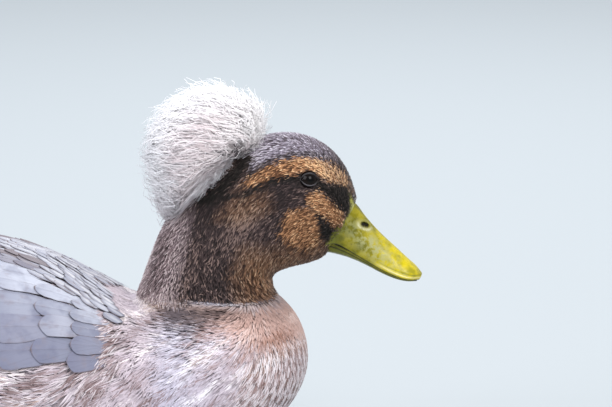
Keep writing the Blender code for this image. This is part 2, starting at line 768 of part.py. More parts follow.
def fan_vane(root, heading, lean, length, width):
    """A straight feather of the tail that heads sideways by an angle and droops at its tip."""
    back, up = tail_axes()
    way = (back * math.cos(heading) + Vector((0, 1, 0)) * math.sin(heading) - up * lean).normalized()
    over = up.cross(way).normalized()
    rings = []
    for along, wide in QUILL_SHAPE:
        centre = root + way * length * along - up * TAIL_DROOP * along**2
        rings.append(blade_ring(centre, over, up, width * wide, VANE_THICK))
    return blade(rings)


def tail(duck, grown_body, material):
    """A wedge behind the vent that carries the fan of tail feathers and its coverts."""
    back, up = tail_axes()
    side = Vector((0, 1, 0))
    rings = []
    for reach, wide, tall, rise in TAIL_WEDGE:
        centre = TAIL_ROOT + (back * reach + up * rise) * MM
        rings.append(
            [
                centre + (side * wide * math.sin(a) - up * tall * math.cos(a)) * MM
                for a in np.linspace(0, 2 * math.pi, WEDGE_POINTS, endpoint=False)
            ]
        )
    wedge = add_object("tail", to_mesh(loft(rings), "tail"), duck)
    pieces = collection("tail_vanes")
    for k in range(TAIL_VANES):
        across = 2 * k / (TAIL_VANES - 1) - 1
        drop = abs(across)
        height = TAIL_TOP - TAIL_FALL * drop + (TAIL_STAGGER if across > 0 else 0)
        root = TAIL_ROOT + back * TAIL_SINK + side * across * TAIL_ROOT_HALF + up * height
        length = TAIL_LENGTH * (1 - TAIL_OUTER_SHORTER * drop)
        feather = fan_vane(root, TAIL_SPREAD * across, 0, length, TAIL_WIDTH)
        add_object("vane", to_mesh(feather, "vane"), pieces)
    for degrees, length, height, lean in TAIL_COVERTS:
        root = TAIL_ROOT + (back * COVERT_START + side * degrees * COVERT_ASIDE + up * height) * MM
        feather = fan_vane(root, math.radians(degrees), lean, length * MM, COVERT_WIDTH)
        add_object("vane", to_mesh(feather, "vane"), pieces)
    join_pieces(wedge, pieces)
    boolean(wedge, "DIFFERENCE", other=grown_body)
    keep_largest(wedge)
    finish_node(wedge, material)


def tube(points, radii, count=10):
    """A round limb through points, its rings square to the path."""
    rings = []
    for i, (point, radius) in enumerate(zip(points, radii)):
        before, after = points[max(i - 1, 0)], points[min(i + 1, len(points) - 1)]
        way = (after - before).normalized()
        over = way.cross(Vector((0, 0, 1)) if abs(way.z) < 0.9 else Vector((1, 0, 0))).normalized()
        up = over.cross(way)
        rings.append(
            [
                point + over * radius * math.cos(a) + up * radius * math.sin(a)
                for a in np.linspace(0, 2 * math.pi, count, endpoint=False)
            ]
        )
    return loft(rings)


def cut_at_floor(target, helpers):
    """Trims what reaches below the floor, which leaves a flat sole."""
    shape = bmesh.new()
    bmesh.ops.create_cube(shape, size=0.4)
    bmesh.ops.translate(shape, vec=(0, 0, FLOOR - 0.2), verts=shape.verts)
    ground = add_object("ground", to_mesh(shape, "ground"), helpers)
    hide_helper(ground)
    boolean(target, "DIFFERENCE", other=ground, solver="MANIFOLD")
    keep_largest(target)


def thigh():
    """The feathered drumstick between the shank and the flank."""
    shape = bmesh.new()
    bmesh.ops.create_uvsphere(shape, u_segments=14, v_segments=8, radius=1)
    reach = THIGH_TOP - HOCK
    bmesh.ops.scale(shape, vec=(THIGH_RADIUS, THIGH_RADIUS, reach.length * THIGH_STRETCH), verts=shape.verts)
    turn = reach.to_track_quat("Z", "Y").to_matrix()
    bmesh.ops.rotate(shape, matrix=turn, cent=(0, 0, 0), verts=shape.verts)
    bmesh.ops.translate(shape, vec=HOCK.lerp(THIGH_TOP, THIGH_MIDDLE), verts=shape.verts)
    return shape


def toe(way, length):
    """A front toe along the floor, ending in its claw."""
    path = [TOE_ROOT - way * TOE_SINK]
    for share, drop in TOE_STATIONS:
        path.append(TOE_ROOT + way * length * share - Vector((0, 0, drop)) * MM)
    return tube(path, TOE_RADII, 8)


def hind_toe(forward):
    """The short toe that points back and inwards."""
    path = []
    for back, inward, drop in HIND_TOE:
        path.append(TOE_ROOT - forward * back * MM - Vector((0, inward, drop)) * MM)
    return tube(path, HIND_RADII, 8)


def web(toes):
    """The skin between the front toes, its free edge drawn in between them."""
    heading = sum((way for way, _ in toes), Vector()).normalized()
    rim = [TOE_ROOT - heading * MM]
    for k, (way, length) in enumerate(toes):
        if k:
            middle = (toes[k - 1][0] + way).normalized()
            rim.append(TOE_ROOT + middle * WEB_HOLLOW * (toes[k - 1][1] + length) / 2)
        rim.append(TOE_ROOT + way * length * WEB_REACH)
    shape = bmesh.new()
    low = [shape.verts.new((p.x, p.y, FLOOR - MM)) for p in rim]
    high = [shape.verts.new((p.x, p.y, FLOOR + WEB_THICK)) for p in rim]
    shape.faces.new(low)
    shape.faces.new(high)
    for k in range(len(rim)):
        following = (k + 1) % len(rim)
        shape.faces.new((low[k], low[following], high[following], high[k]))
    bmesh.ops.recalc_face_normals(shape, faces=shape.faces)
    return shape


def legs(duck, helpers, grown_body, skin, plume):
    """Shank and webbed foot on each side, folded flat under the flank."""
    forward = (TOE_ROOT - HOCK).normalized()
    toes = []
    for degrees, length in zip(TOE_ANGLES, TOE_LENGTHS):
        angle = FOOT_HEADING + math.radians(degrees)
        toes.append((Vector((math.cos(angle), math.sin(angle), 0)), length * MM))
    path = [HOCK.lerp(TOE_ROOT, share) for share in SHANK_STATIONS]
    path.append(TOE_ROOT - forward * ANKLE_BACK)
    for side, word in ((1, "left"), (-1, "right")):
        def own(shape):
            return shape if side > 0 else mirrored(shape)

        leg = add_object("leg_" + word, to_mesh(own(tube(path, SHANK_RADII)), "leg"), duck)
        pieces = collection("thigh")
        add_object("thigh", to_mesh(own(thigh()), "thigh"), pieces)
        join_pieces(leg, pieces)
        boolean(leg, "DIFFERENCE", other=grown_body)
        cut_at_floor(leg, helpers)
        finish_node(leg, plume)
        foot = add_object("foot_" + word, to_mesh(own(web(toes)), "foot"), duck)
        pieces = collection("toes")
        for shape in [toe(way, length) for way, length in toes] + [hind_toe(forward)]:
            add_object("toe", to_mesh(own(shape), "toe"), pieces)
        join_pieces(foot, pieces)
        cut_at_floor(foot, helpers)
        clear_of(foot, leg, helpers)
        finish_node(foot, skin)


def clear_of(target, other, helpers):
    """Cuts target back from another piece by the gap."""
    shape = bmesh.new()
    shape.from_mesh(other.data)
    shape.normal_update()
    moved = [vert.co + vert.normal * FOOT_CLEARANCE for vert in shape.verts]
    for vert, place in zip(shape.verts, moved):
        vert.co = place
    grown = add_object("grown_" + other.name, to_mesh(shape, "grown"), helpers)
    hide_helper(grown)
    boolean(target, "DIFFERENCE", other=grown)
    keep_largest(target)


def main():
    clear_scene()
    duck = collection("crested_duck")
    helpers = collection("helpers")
    plume = plumage("body_plumage", (0.48, 0.42, 0.42))
    face = plumage("head_plumage", (0.16, 0.12, 0.11))
    white = plumage("crest_plumage", (0.86, 0.83, 0.84))
    silver = plumage("wing_feather", (0.60, 0.60, 0.68))
    horn = plumage("bill_horn", (0.62, 0.58, 0.05), 0.35)
    dark = plumage("eye_gloss", (0.02, 0.012, 0.01), 0.08)
    web_skin = plumage("foot_skin", (0.62, 0.34, 0.06), 0.5)

    grown_body = add_object("grown_body", to_mesh(body_shape(GAP), "grown"), helpers)
    hide_helper(grown_body)
    parts = torso_neck_head(duck, helpers, plume, face)
    tree = BVHTree.FromObject(grown_body, bpy.context.evaluated_depsgraph_get())
    eyes_and_lids(tree, duck, helpers, parts["head"], dark, face)
    bill(duck, helpers, horn)
    crest(duck, helpers, grown_body, white)
    wings(tree, duck, grown_body, silver)
    tail(duck, grown_body, silver)
    legs(duck, helpers, grown_body, web_skin, plume)


main()
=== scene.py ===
import math

import bpy
import numpy as np
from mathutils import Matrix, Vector
from mathutils.bvhtree import BVHTree


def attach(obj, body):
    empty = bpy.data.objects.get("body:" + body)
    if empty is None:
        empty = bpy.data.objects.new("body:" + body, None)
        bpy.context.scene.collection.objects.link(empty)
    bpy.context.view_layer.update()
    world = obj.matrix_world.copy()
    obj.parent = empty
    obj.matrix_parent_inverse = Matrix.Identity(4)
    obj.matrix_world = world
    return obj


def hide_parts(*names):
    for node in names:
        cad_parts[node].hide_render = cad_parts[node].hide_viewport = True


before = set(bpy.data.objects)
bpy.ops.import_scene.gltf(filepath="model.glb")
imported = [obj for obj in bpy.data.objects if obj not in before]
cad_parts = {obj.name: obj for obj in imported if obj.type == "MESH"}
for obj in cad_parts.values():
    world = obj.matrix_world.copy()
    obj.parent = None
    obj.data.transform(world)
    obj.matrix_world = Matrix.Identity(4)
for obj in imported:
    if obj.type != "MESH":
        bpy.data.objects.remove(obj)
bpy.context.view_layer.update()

# Crested duck resting on its belly: one skin, a coat of small feathers, vanes on wings and tail,
# a ball of plumes on the crown, horn bill, wet eyes and webbed feet. Sizes are in millimetres.
mm = 0.001
smallStep = 0.012  # for the slopes of the body's surface
neckBase = 12.95  # the rung where the neck leaves the breast
bodyRungs = np.array((  # under x, z, over x, z, half width, narrowing, from the vent to the face
    (-189, 84, -199, 110, 19, 0), (-170, 63, -182, 124, 38, 0), (-135, 33, -146, 136, 60, 0),
    (-90, 9, -100, 149, 78, 0), (-45, -4, -52, 156.5, 88, 0), (2, -7, -8, 154, 90, 0),
    (50, -5, 24, 144, 89, .02), (94, 7, 44, 133.5, 85, .02), (131, 27, 56, 126.5, 79, .02),
    (160, 53, 64, 121.5, 71, .02), (174.5, 82, 69, 120, 61, .02), (172.5, 100, 71, 121, 53, 0),
    (165.5, 113.5, 72.5, 124, 46, 0), (155.5, 124.5, 74.5, 130, 38.5, 0), (153.2, 131, 78, 140, 33.5, 0),
    (153.4, 136, 83.5, 155, 30, .02), (157, 139.5, 91, 171, 28, .05), (163, 141.8, 103, 190, 27, .08),
    (169, 143.4, 122, 208, 26.5, .11), (174, 144.4, 146, 220.5, 26, .13), (178, 145.6, 168, 222.5, 25, .13),
    (182, 147.2, 187, 214.2, 22.5, .12), (184.8, 149, 198.5, 199.5, 18, .08), (186.5, 151, 204.5, 181, 13, .04),
))
faceEnd = len(bodyRungs) - 1
bodySquare = 2.15  # 2 would make each ring an ellipse


def splineThrough(knots, values, places):
    # natural cubic spline
    knots, values = np.asarray(knots, float), np.asarray(values, float)
    steps = np.diff(knots)
    slopes = np.diff(values, axis=0) / steps[:, None]
    matrix = np.eye(len(knots))
    right = np.zeros_like(values)
    for i in range(1, len(knots) - 1):
        matrix[i, i - 1:i + 2] = steps[i - 1], 2 * (steps[i - 1] + steps[i]), steps[i]
        right[i] = 6 * (slopes[i] - slopes[i - 1])
    bends = np.linalg.solve(matrix, right)
    cell = np.clip(np.searchsorted(knots, places) - 1, 0, len(steps) - 1)
    h = steps[cell][:, None]
    before = (places - knots[cell])[:, None]
    after = h - before
    return ((bends[cell] * after**3 + bends[cell + 1] * before**3) / (6 * h)
            + (values[cell] / h - bends[cell] * h / 6) * after
            + (values[cell + 1] / h - bends[cell + 1] * h / 6) * before)


def rungKnots(rungs):
    lower = np.linalg.norm(np.diff(rungs[:, 0:2], axis=0), axis=1)
    upper = np.linalg.norm(np.diff(rungs[:, 2:4], axis=0), axis=1)
    return np.concatenate([[0], np.cumsum(0.5 * (lower + upper))])


bodyKnots = rungKnots(bodyRungs)


def knotAt(u):
    return np.interp(u, np.arange(faceEnd + 1), bodyKnots)


def bodyPoint(u, v):
    # u counts rungs from the vent, v turns round the body from the keel, positive on the left
    shape = np.shape(u)
    u, v = np.ravel(u), np.ravel(v)
    rungs = splineThrough(bodyKnots, bodyRungs, knotAt(u))
    up = -np.sign(np.cos(v)) * np.abs(np.cos(v)) ** (2 / bodySquare)
    out = np.sign(np.sin(v)) * np.abs(np.sin(v)) ** (2 / bodySquare)
    x = (rungs[:, 0] + rungs[:, 2]) / 2 + up * (rungs[:, 2] - rungs[:, 0]) / 2
    z = (rungs[:, 1] + rungs[:, 3]) / 2 + up * (rungs[:, 3] - rungs[:, 1]) / 2
    y = out * rungs[:, 4] * (1 - rungs[:, 5] * up)
    return np.stack((x, y, np.maximum(z, 0)), -1).reshape(*shape, 3)


def unit(vectors):
    return vectors / np.maximum(np.linalg.norm(vectors, axis=-1, keepdims=True), 1e-9)


def bodyFrame(u, v):
    # place, outward normal, and how far one unit of u and of v reaches there
    alongU = (bodyPoint(u + smallStep, v) - bodyPoint(u - smallStep, v)) / (2 * smallStep)
    alongV = (bodyPoint(u, v + smallStep) - bodyPoint(u, v - smallStep)) / (2 * smallStep)
    normal = unit(np.cross(alongV, alongU))
    return (bodyPoint(u, v), normal, np.maximum(np.linalg.norm(alongU, axis=-1), 0.5),
            np.maximum(np.linalg.norm(alongV, axis=-1), 0.5))


def bodyRoots(uFrom, uTo, gap, draw):
    # staggered rows across the body, evenly dense also where it bends
    ring = np.linspace(-math.pi, math.pi, 361)
    found = []
    u = uFrom
    while u > uTo:
        here, _, runU, _ = bodyFrame(np.full(361, u), ring)
        step = gap[0] / runU.max()
        arc = np.concatenate([[0], np.cumsum(np.linalg.norm(np.diff(here, axis=0), axis=1))])
        count = max(int(arc[-1] / gap[1]), 3)
        at = (np.arange(count) + draw.random() + 0.35 * (draw.random(count) - 0.5)) / count % 1 * arc[-1]
        v = np.interp(at, arc, ring)
        kept = draw.random(count) < np.interp(v, ring, runU) / runU.max()
        rowU = u + step * 0.8 * (draw.random(count) - 0.5)
        found.append(np.stack((rowU[kept], v[kept]), -1))
        u -= step
    return np.concatenate(found)


def walkBody(u, v, heading, lengths, stations):
    # follows the body back from each root; heading turns the way up the side
    side = np.where(np.sin(v) >= 0, 1.0, -1.0)
    u, v = u.copy(), v.copy()
    places, normals = [], []
    last = 0
    place, normal, runU, runV = bodyFrame(u, v)
    for station in stations:
        reach = (station - last) * lengths
        last = station
        if station > 0:
            u = np.maximum(u - np.cos(heading) * reach / runU, 0.05)
            v = v + side * np.sin(heading) * reach / runV
            place, normal, runU, runV = bodyFrame(u, v)
        places.append(place)
        normals.append(normal)
    return np.stack(places, 1), np.stack(normals, 1)


def ringQuads(index):
    # faces between each ring of vertex numbers and the next; the last two axes are station and corner
    ahead = np.roll(index, -1, axis=-1)
    quads = np.stack((index[..., :-1, :], ahead[..., :-1, :], ahead[..., 1:, :], index[..., 1:, :]), -1)
    return quads.reshape(-1, 4)


def bodyGrid(stations, around):
    # an even grid over the whole body, its quads, and all its faces with both ends closed
    knots = np.interp(np.linspace(0, bodyKnots[-1], stations), bodyKnots, np.arange(faceEnd + 1))
    u, v = np.meshgrid(knots, np.linspace(-math.pi, math.pi, around, endpoint=False), indexing="ij")
    index = np.arange(u.size).reshape(u.shape)
    quads = ringQuads(index)
    return u, v, quads, quads.tolist() + [index[0][::-1].tolist(), index[-1].tolist()]


def ramp(values, start, width):
    # rises from 0 to 1 over the width, or falls where the width is negative
    return np.clip((values - start) / width, 0, 1)


def bell(values, middle, wide):
    return np.exp(-((values - middle) / wide)**2)


def mirrored(rings):
    # for the other side of the bird, with the corners in the order that faces outwards
    return (rings * np.array((1, -1, 1)))[:, :, ::-1]


def setAttribute(mesh, name, values):
    data = mesh.attributes.new(name, "FLOAT_VECTOR", "POINT").data
    data.foreach_set("vector", values.astype(np.float32).ravel())


def setUv(mesh, uv):
    # uv holds one place for each vertex
    points = np.zeros(len(mesh.loops), np.int32)
    mesh.loops.foreach_get("vertex_index", points)
    layer = mesh.uv_layers.get("OFBake") or mesh.uv_layers.new(name="OFBake")
    layer.uv.foreach_set("vector", uv.reshape(-1, 2)[points].astype(np.float32).ravel())


def ringsMesh(name, rings, across, along, rootUv, marks, chance, patch, sharp=None, bent=None):
    # closes every stack of rings into its own thin solid; rings has axes item, station, corner, xyz
    # bent gives normals for items, stations and corners, where a coat is to be shaded as one soft form
    items, stations, corners, _ = shape = rings.shape
    index = np.arange(items * stations * corners).reshape(items, stations, corners)
    quads = ringQuads(index)
    caps = np.concatenate((index[:, 0, ::-1], index[:, -1]))
    loops = np.concatenate((quads.ravel(), caps.ravel()))
    sizes = np.concatenate((np.full(len(quads), 4), np.full(len(caps), corners)))
    mesh = bpy.data.meshes.new(name)
    mesh.vertices.add(index.size)
    mesh.vertices.foreach_set("co", (rings * mm).astype(np.float32).ravel())
    mesh.loops.add(len(loops))
    mesh.loops.foreach_set("vertex_index", loops.astype(np.int32))
    mesh.polygons.add(len(sizes))
    mesh.polygons.foreach_set("loop_start", np.concatenate([[0], np.cumsum(sizes)[:-1]]).astype(np.int32))
    mesh.update(calc_edges=True)
    mesh.shade_smooth()
    if sharp is not None:
        mesh.set_sharp_from_angle(angle=math.radians(sharp))
    if bent is not None:
        normals = np.broadcast_to(bent, shape).reshape(-1, 3)
        mesh.normals_split_custom_set_from_vertices(normals.astype(np.float32))
    across = np.broadcast_to(np.asarray(across, float), shape[:3])
    along = np.broadcast_to(np.asarray(along, float)[None, :, None], shape[:3])
    setAttribute(mesh, "lie", np.stack((across, along, np.broadcast_to(chance[:, None, None], shape[:3])), -1))
    for key, values in marks.items():
        setAttribute(mesh, key, np.broadcast_to(values[:, None, None, :], shape))
    setUv(mesh, rootUv[:, None, None, :] + patch * np.stack((across / 2, along - 0.5), -1))
    return mesh


def singleMesh(name, rings, across, along, patch, marks=None, sharp=None):
    # one solid that fills the map
    return ringsMesh(name, rings[None], across, along, np.full((1, 2), 0.5), marks or {}, np.full(1, 0.5), patch,
                     sharp)


def fitUv(places):
    # spreads the places over the whole map
    low, high = places.min(0), places.max(0)
    return 0.01 + 0.98 * (places - low) / np.maximum(high - low, 1e-9)


def cellUv(count):
    # one cell of a grid for each vane, with the cell's width
    wide = math.ceil(math.sqrt(count))
    k = np.arange(count)
    return np.stack(((k % wide + 0.5) / wide, (k // wide + 0.5) / wide), -1), 0.94 / wide


def addPiece(name, mesh, material, nodes=()):
    piece = bpy.data.objects.new(name, mesh)
    bpy.context.scene.collection.objects.link(piece)
    mesh.materials.append(material)
    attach(piece, "root")
    if nodes:
        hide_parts(*nodes)
    print(name, "triangles", len(mesh.loops) - 2 * len(mesh.polygons))


def tuftRings(paths, normals, halfWidths, lifts, ring, jag=None):
    # rings along each path; ring lists a corner's share of the half width and its height in millimetres
    ways = unit(np.gradient(paths, axis=1))
    sides = unit(np.cross(ways, normals))
    ups = np.cross(sides, ways)
    across, heights = np.array(ring, float).T
    rings = (paths + ups * lifts[..., None])[:, :, None, :]
    rings = rings + sides[:, :, None, :] * (halfWidths[..., None] * across)[..., None]
    rings = rings + ups[:, :, None, :] * heights[None, None, :, None]
    if jag is not None:
        rings = rings + ways[:, :, None, :] * jag[..., None]
    return rings, across


class Tree:
    # short calls for laying out nodes
    def __init__(self, tree):
        self.tree = tree
        self.count = 0

    def node(self, kind, **settings):
        made = self.tree.nodes.new(kind)
        for key, value in settings.items():
            setattr(made, key, value)
        made.location = (180 * (self.count % 9) - 1200, 260 - 190 * (self.count // 9))
        self.count += 1
        return made

    def feed(self, socket, value):
        if isinstance(value, bpy.types.NodeSocket):
            self.tree.links.new(value, socket)
        elif isinstance(value, tuple) and len(value) == 3 and socket.type == "RGBA":
            socket.default_value = (*value, 1)
        else:
            socket.default_value = value

    def maths(self, operation, a, b=0.0, clamp=False):
        made = self.node("ShaderNodeMath", operation=operation, use_clamp=clamp)
        self.feed(made.inputs[0], a)
        self.feed(made.inputs[1], b)
        return made.outputs[0]

    def product(self, first, *others):
        for other in others:
            first = self.maths("MULTIPLY", first, other)
        return first

    def blend(self, share, a, b, mode="MIX"):
        made = self.node("ShaderNodeMix", data_type="RGBA", blend_type=mode)
        self.feed(made.inputs["Factor"], share)
        self.feed(made.inputs[6], a)
        self.feed(made.inputs[7], b)
        return made.outputs[2]

    def shaded(self, colour, shade):
        grey = self.node("ShaderNodeCombineColor")
        for socket in grey.inputs[:3]:
            self.feed(socket, shade)
        return self.blend(1.0, colour, grey.outputs[0], "MULTIPLY")

    def smooth(self, value, low, high, toLow=0.0, toHigh=1.0):
        made = self.node("ShaderNodeMapRange", interpolation_type="SMOOTHSTEP")
        for key, number in (("Value", value), ("From Min", low), ("From Max", high), ("To Min", toLow),
                            ("To Max", toHigh)):
            self.feed(made.inputs[key], number)
        return made.outputs[0]

    def attribute(self, name):
        made = self.node("ShaderNodeAttribute", attribute_name=name)
        parts = self.node("ShaderNodeSeparateXYZ")
        self.feed(parts.inputs[0], made.outputs["Vector"])
        return parts.outputs

    def noise(self, scale, detail=2.0, vector=None, rough=0.5):
        made = self.node("ShaderNodeTexNoise")
        made.inputs["Scale"].default_value = scale
        made.inputs["Detail"].default_value = detail
        made.inputs["Roughness"].default_value = rough
        if vector is not None:
            self.feed(made.inputs["Vector"], vector)
        return made.outputs[0]

    def position(self):
        return self.node("ShaderNodeTexCoord").outputs["Object"]

    def group(self, group, **values):
        made = self.node("ShaderNodeGroup")
        made.node_tree = group
        for key, value in values.items():
            self.feed(made.inputs[key], value)
        return made.outputs

    def barbsOn(self, lie, sideLines, longLines):
        return self.group(featherBarbs, Across=lie[0], Along=lie[1], Chance=lie[2], SideLines=sideLines,
                          LongLines=longLines)


def makeGroup(name, inputs, outputs):
    # inputs give each number's name and value; None stands for a vector
    group = bpy.data.node_groups.new(name, "ShaderNodeTree")
    for label, value in inputs.items():
        kind = "NodeSocketVector" if value is None else "NodeSocketFloat"
        socket = group.interface.new_socket(name=label, in_out="INPUT", socket_type=kind)
        if value is not None:
            socket.default_value = value
    for label in outputs:
        group.interface.new_socket(name=label, in_out="OUTPUT", socket_type="NodeSocketFloat")
    tree = Tree(group)
    return tree, tree.node("NodeGroupInput").outputs, tree.node("NodeGroupOutput").inputs


def newMaterial(name, settings):
    # settings are the shader's own values
    material = bpy.data.materials.new(name)
    material.use_nodes = True
    shader = material.node_tree.nodes["Principled BSDF"]
    for key, value in settings.items():
        shader.inputs[key].default_value = value
    return material, Tree(material.node_tree), shader


def colourAndBump(tree, shader, colour, height, strength, distance):
    # colour and bump of a material, with the bump's depth in millimetres
    tree.feed(shader.inputs["Base Color"], colour)
    bump = tree.node("ShaderNodeBump")
    bump.inputs["Strength"].default_value = strength
    bump.inputs["Distance"].default_value = distance * mm
    tree.feed(bump.inputs["Height"], height)
    tree.feed(shader.inputs["Normal"], bump.outputs[0])


# barbs: fine lines that leave the shaft of a feather, from its across and along coordinates
tree, given, taken = makeGroup(
    "featherBarbs", {"Across": 0.0, "Along": 0.0, "Chance": 0.0, "SideLines": 9.0, "LongLines": 30.0},
    ("Streak", "Height", "Shaft"))
outward = tree.maths("ABSOLUTE", given["Across"])
lines = tree.maths("SUBTRACT", tree.product(outward, given["SideLines"]),
                   tree.product(given["Along"], given["LongLines"]))
shifted = tree.maths("ADD", lines, tree.product(given["Chance"], 37.0))
wander = tree.node("ShaderNodeTexNoise", noise_dimensions="1D")
tree.feed(wander.inputs["W"], shifted)
wander.inputs["Scale"].default_value = 0.9
wander.inputs["Detail"].default_value = 3.0
wave = tree.product(tree.maths("SINE", tree.product(shifted, 6.283)), 0.22)
uneven = tree.product(tree.maths("SUBTRACT", wander.outputs[0], 0.5), 2.4)
streak = tree.maths("ADD", tree.maths("ADD", wave, uneven), 1.0, clamp=True)
tree.feed(taken["Streak"], streak)
tree.feed(taken["Height"], tree.product(streak, 0.6))
tree.feed(taken["Shaft"], tree.smooth(outward, 0.02, 0.09, 1.0, 0.0))
featherBarbs = tree.tree

# speckle: small irregular spots with a soft rim
tree, given, taken = makeGroup("speckle", {"Vector": None, "Scale": 300.0, "Cover": 0.3}, ("Spots", "Cloud"))
cloud = tree.node("ShaderNodeTexNoise")
tree.feed(cloud.inputs["Vector"], given["Vector"])
tree.feed(cloud.inputs["Scale"], given["Scale"])
cloud.inputs["Detail"].default_value = 4.0
edge = tree.maths("SUBTRACT", 0.72, tree.product(given["Cover"], 0.4))
tree.feed(taken["Spots"], tree.smooth(cloud.outputs[0], edge, tree.maths("ADD", edge, 0.07)))
tree.feed(taken["Cloud"], cloud.outputs[0])
speckle = tree.tree

# outlines on the bird's side, x and height in millimetres, alike on left and right
sideView = 0.2126  # outlines are read from a little above, so height falls with distance from the middle
markings = {
    "brow": ((136, 192.6), (143.8, 198.7), (152.2, 204.3), (161.2, 206.7), (170.2, 208.2), (177.4, 207.6),
             (184.6, 205.8), (194.8, 201.8), (199.6, 194.4), (202, 186), (197.8, 189.2), (190.6, 192),
             (182.8, 195.1), (176.2, 200.6), (168.4, 198.1), (154.6, 195.7), (144.4, 192)),
    "eyeRound": ((169.2, 194.4), (172, 197.6), (176, 199.2), (180.5, 198.6), (183.5, 195), (183, 190.4), (178, 189.8),
                 (173, 190)),
    "lores": ((179.6, 194.5), (190.6, 191.4), (201, 189.5), (201.5, 180), (199.6, 172.6), (196.6, 174.8),
              (191.8, 179.7), (187.6, 184.6), (181, 189)),
    "underEye": ((175.6, 185.2), (182.8, 187.1), (189.4, 180.3), (197.2, 172.4), (196.6, 166.2), (192.4, 163.8),
                 (185.8, 171.1), (176.2, 178.5)),
    "gape": ((180, 175.4), (185.8, 169.9), (192.4, 162.6), (190, 158), (184.4, 157.1), (182.8, 166.2)),
    "cheek": ((163, 175.4), (172, 177.3), (180.4, 175.4), (183.4, 161.3), (184.6, 155.8), (176.2, 151.5),
              (166, 154), (159.4, 161.3)),
    "throat": ((190, 150), (178, 143), (166.8, 140), (157, 136), (153, 128), (143, 126), (140, 133), (144, 143),
               (156, 151.5), (170.2, 155.8), (183.4, 157.6)),
    "neckTan": ((139, 150), (157, 149), (160, 130), (152, 121), (138, 122), (133, 136)),
    "neckStreaks": ((134.6, 189.2), (151.2, 189.2), (153.6, 177.1), (134.6, 169.8), (120.4, 172.2)),
    "crown": ((135, 214), (146, 226), (167.2, 228), (182, 223), (192, 215), (199, 205), (203.4, 193), (199.5, 196),
              (194.8, 201.8), (184.6, 205.8), (170.2, 208.2), (152.2, 204.3), (143, 200)),
    # painted shadow: the dark wedge between the crest's lower edge and the head
    "crestShadow": ((106, 181), (118, 190), (128, 200), (136, 209), (141, 212), (144, 208), (138, 200), (129, 190),
                  (118, 181)),
    "bare": ((201, 185.5), (205, 179), (212, 178), (194, 140), (188.5, 149.5), (188, 156), (190.8, 157.2),
             (194.6, 158.6), (196.8, 162.6), (199, 167.2), (200.9, 172), (202, 176), (201.8, 180.6)),
    "foldShade": ((76, 126), (122, 126), (136, 120), (130, 111), (114, 104), (98, 103), (86, 110)),
    "breastRust": ((108, 122), (135, 130), (164, 132), (180, 114), (180, 92), (158, 86), (140, 90), (118, 103)),
    "breastTop": ((112, 121), (130, 130), (164, 132), (172, 118), (150, 113), (126, 111)),
    "breastFringe": ((142, 94), (156, 98), (180, 103), (190, 70), (160, 20), (120, 20), (132, 60)),
    "sideMottle": ((86, 112), (104, 106), (126, 99), (128, 84), (104, 76), (88, 92)),
    "wingFringe": ((40, 114), (60, 116), (70, 100), (66, 80), (52, 66), (36, 68)),
    # the flank's brown bars, made stronger as painted shade under the wing
    "flankBarsAndShade": ((-160, 82), (38, 80), (48, 68), (26, 40), (-160, 36)),
}
browLine = ((139, 199), (146, 202.4), (153, 206.6), (162, 209.2), (170, 210.4), (178, 209.8), (185.5, 207.8),
            (193, 204), (198.5, 198.5), (202, 191))
eyeLine = ((170.8, 196.4), (164.2, 195.4), (156.4, 194.9), (147.4, 191), (138, 187), (124, 184))


def seenHeight(places):
    return places[..., 2] - sideView * np.abs(places[..., 1])


def lineReach(x, z, starts, ends):
    # distance to the nearest of the straight lines from starts to ends
    nearest = np.full(x.shape, 1e9)
    for (ax, az), (bx, bz) in zip(starts, ends):
        share = np.clip(((x - ax) * (bx - ax) + (z - az) * (bz - az)) / ((bx - ax)**2 + (bz - az)**2), 0, 1)
        nearest = np.minimum(nearest, np.hypot(x - ax - share * (bx - ax), z - az - share * (bz - az)))
    return nearest


def outlineMask(x, z, outline, soft):
    # 1 inside the outline and 0 outside, with a soft border
    corners = np.array(outline, float)
    after = np.roll(corners, -1, 0)
    nearest = lineReach(x, z, corners, after)
    inside = np.zeros(x.shape, bool)
    for (ax, az), (bx, bz) in zip(corners, after):
        crossing = (az > z) != (bz > z)
        inside ^= crossing & (x < ax + (z - az) * (bx - ax) / (bz - az if bz != az else 1e-9))
    return np.clip(0.5 + np.where(inside, nearest, -nearest) / soft, 0, 1)


def lineMask(x, z, line, width, soft):
    return np.clip((width - lineReach(x, z, line, line[1:])) / soft + 0.5, 0, 1)


def ripple(places, wave, seed):
    # smooth uneven field between about -1 and 1
    draw = np.random.default_rng(seed)
    total = np.zeros(places.shape[:-1])
    for _ in range(5):
        way = unit(draw.normal(size=3)) * 2 * math.pi / (wave * draw.uniform(0.7, 1.5))
        total = total + np.sin(places @ way + draw.uniform(0, 6.28)) / 2.2
    return total


def streakField(places, lean, wave, seed):
    # uneven field drawn out along the lean of the feathers in side view, in degrees
    draw = np.random.default_rng(seed)
    a = math.radians(lean)
    x, z = places[..., 0], seenHeight(places)
    along, across = x * math.cos(a) + z * math.sin(a), z * math.cos(a) - x * math.sin(a)
    total = np.zeros(x.shape)
    for _ in range(6):
        size = wave * draw.uniform(0.6, 1.6)
        total = total + np.sin(across * 2 * math.pi / size + along * 2 * math.pi / (size * draw.uniform(3.5, 7))
                               * draw.choice((-1, 1)) + draw.uniform(0, 6.28)) / 2.4
    return total


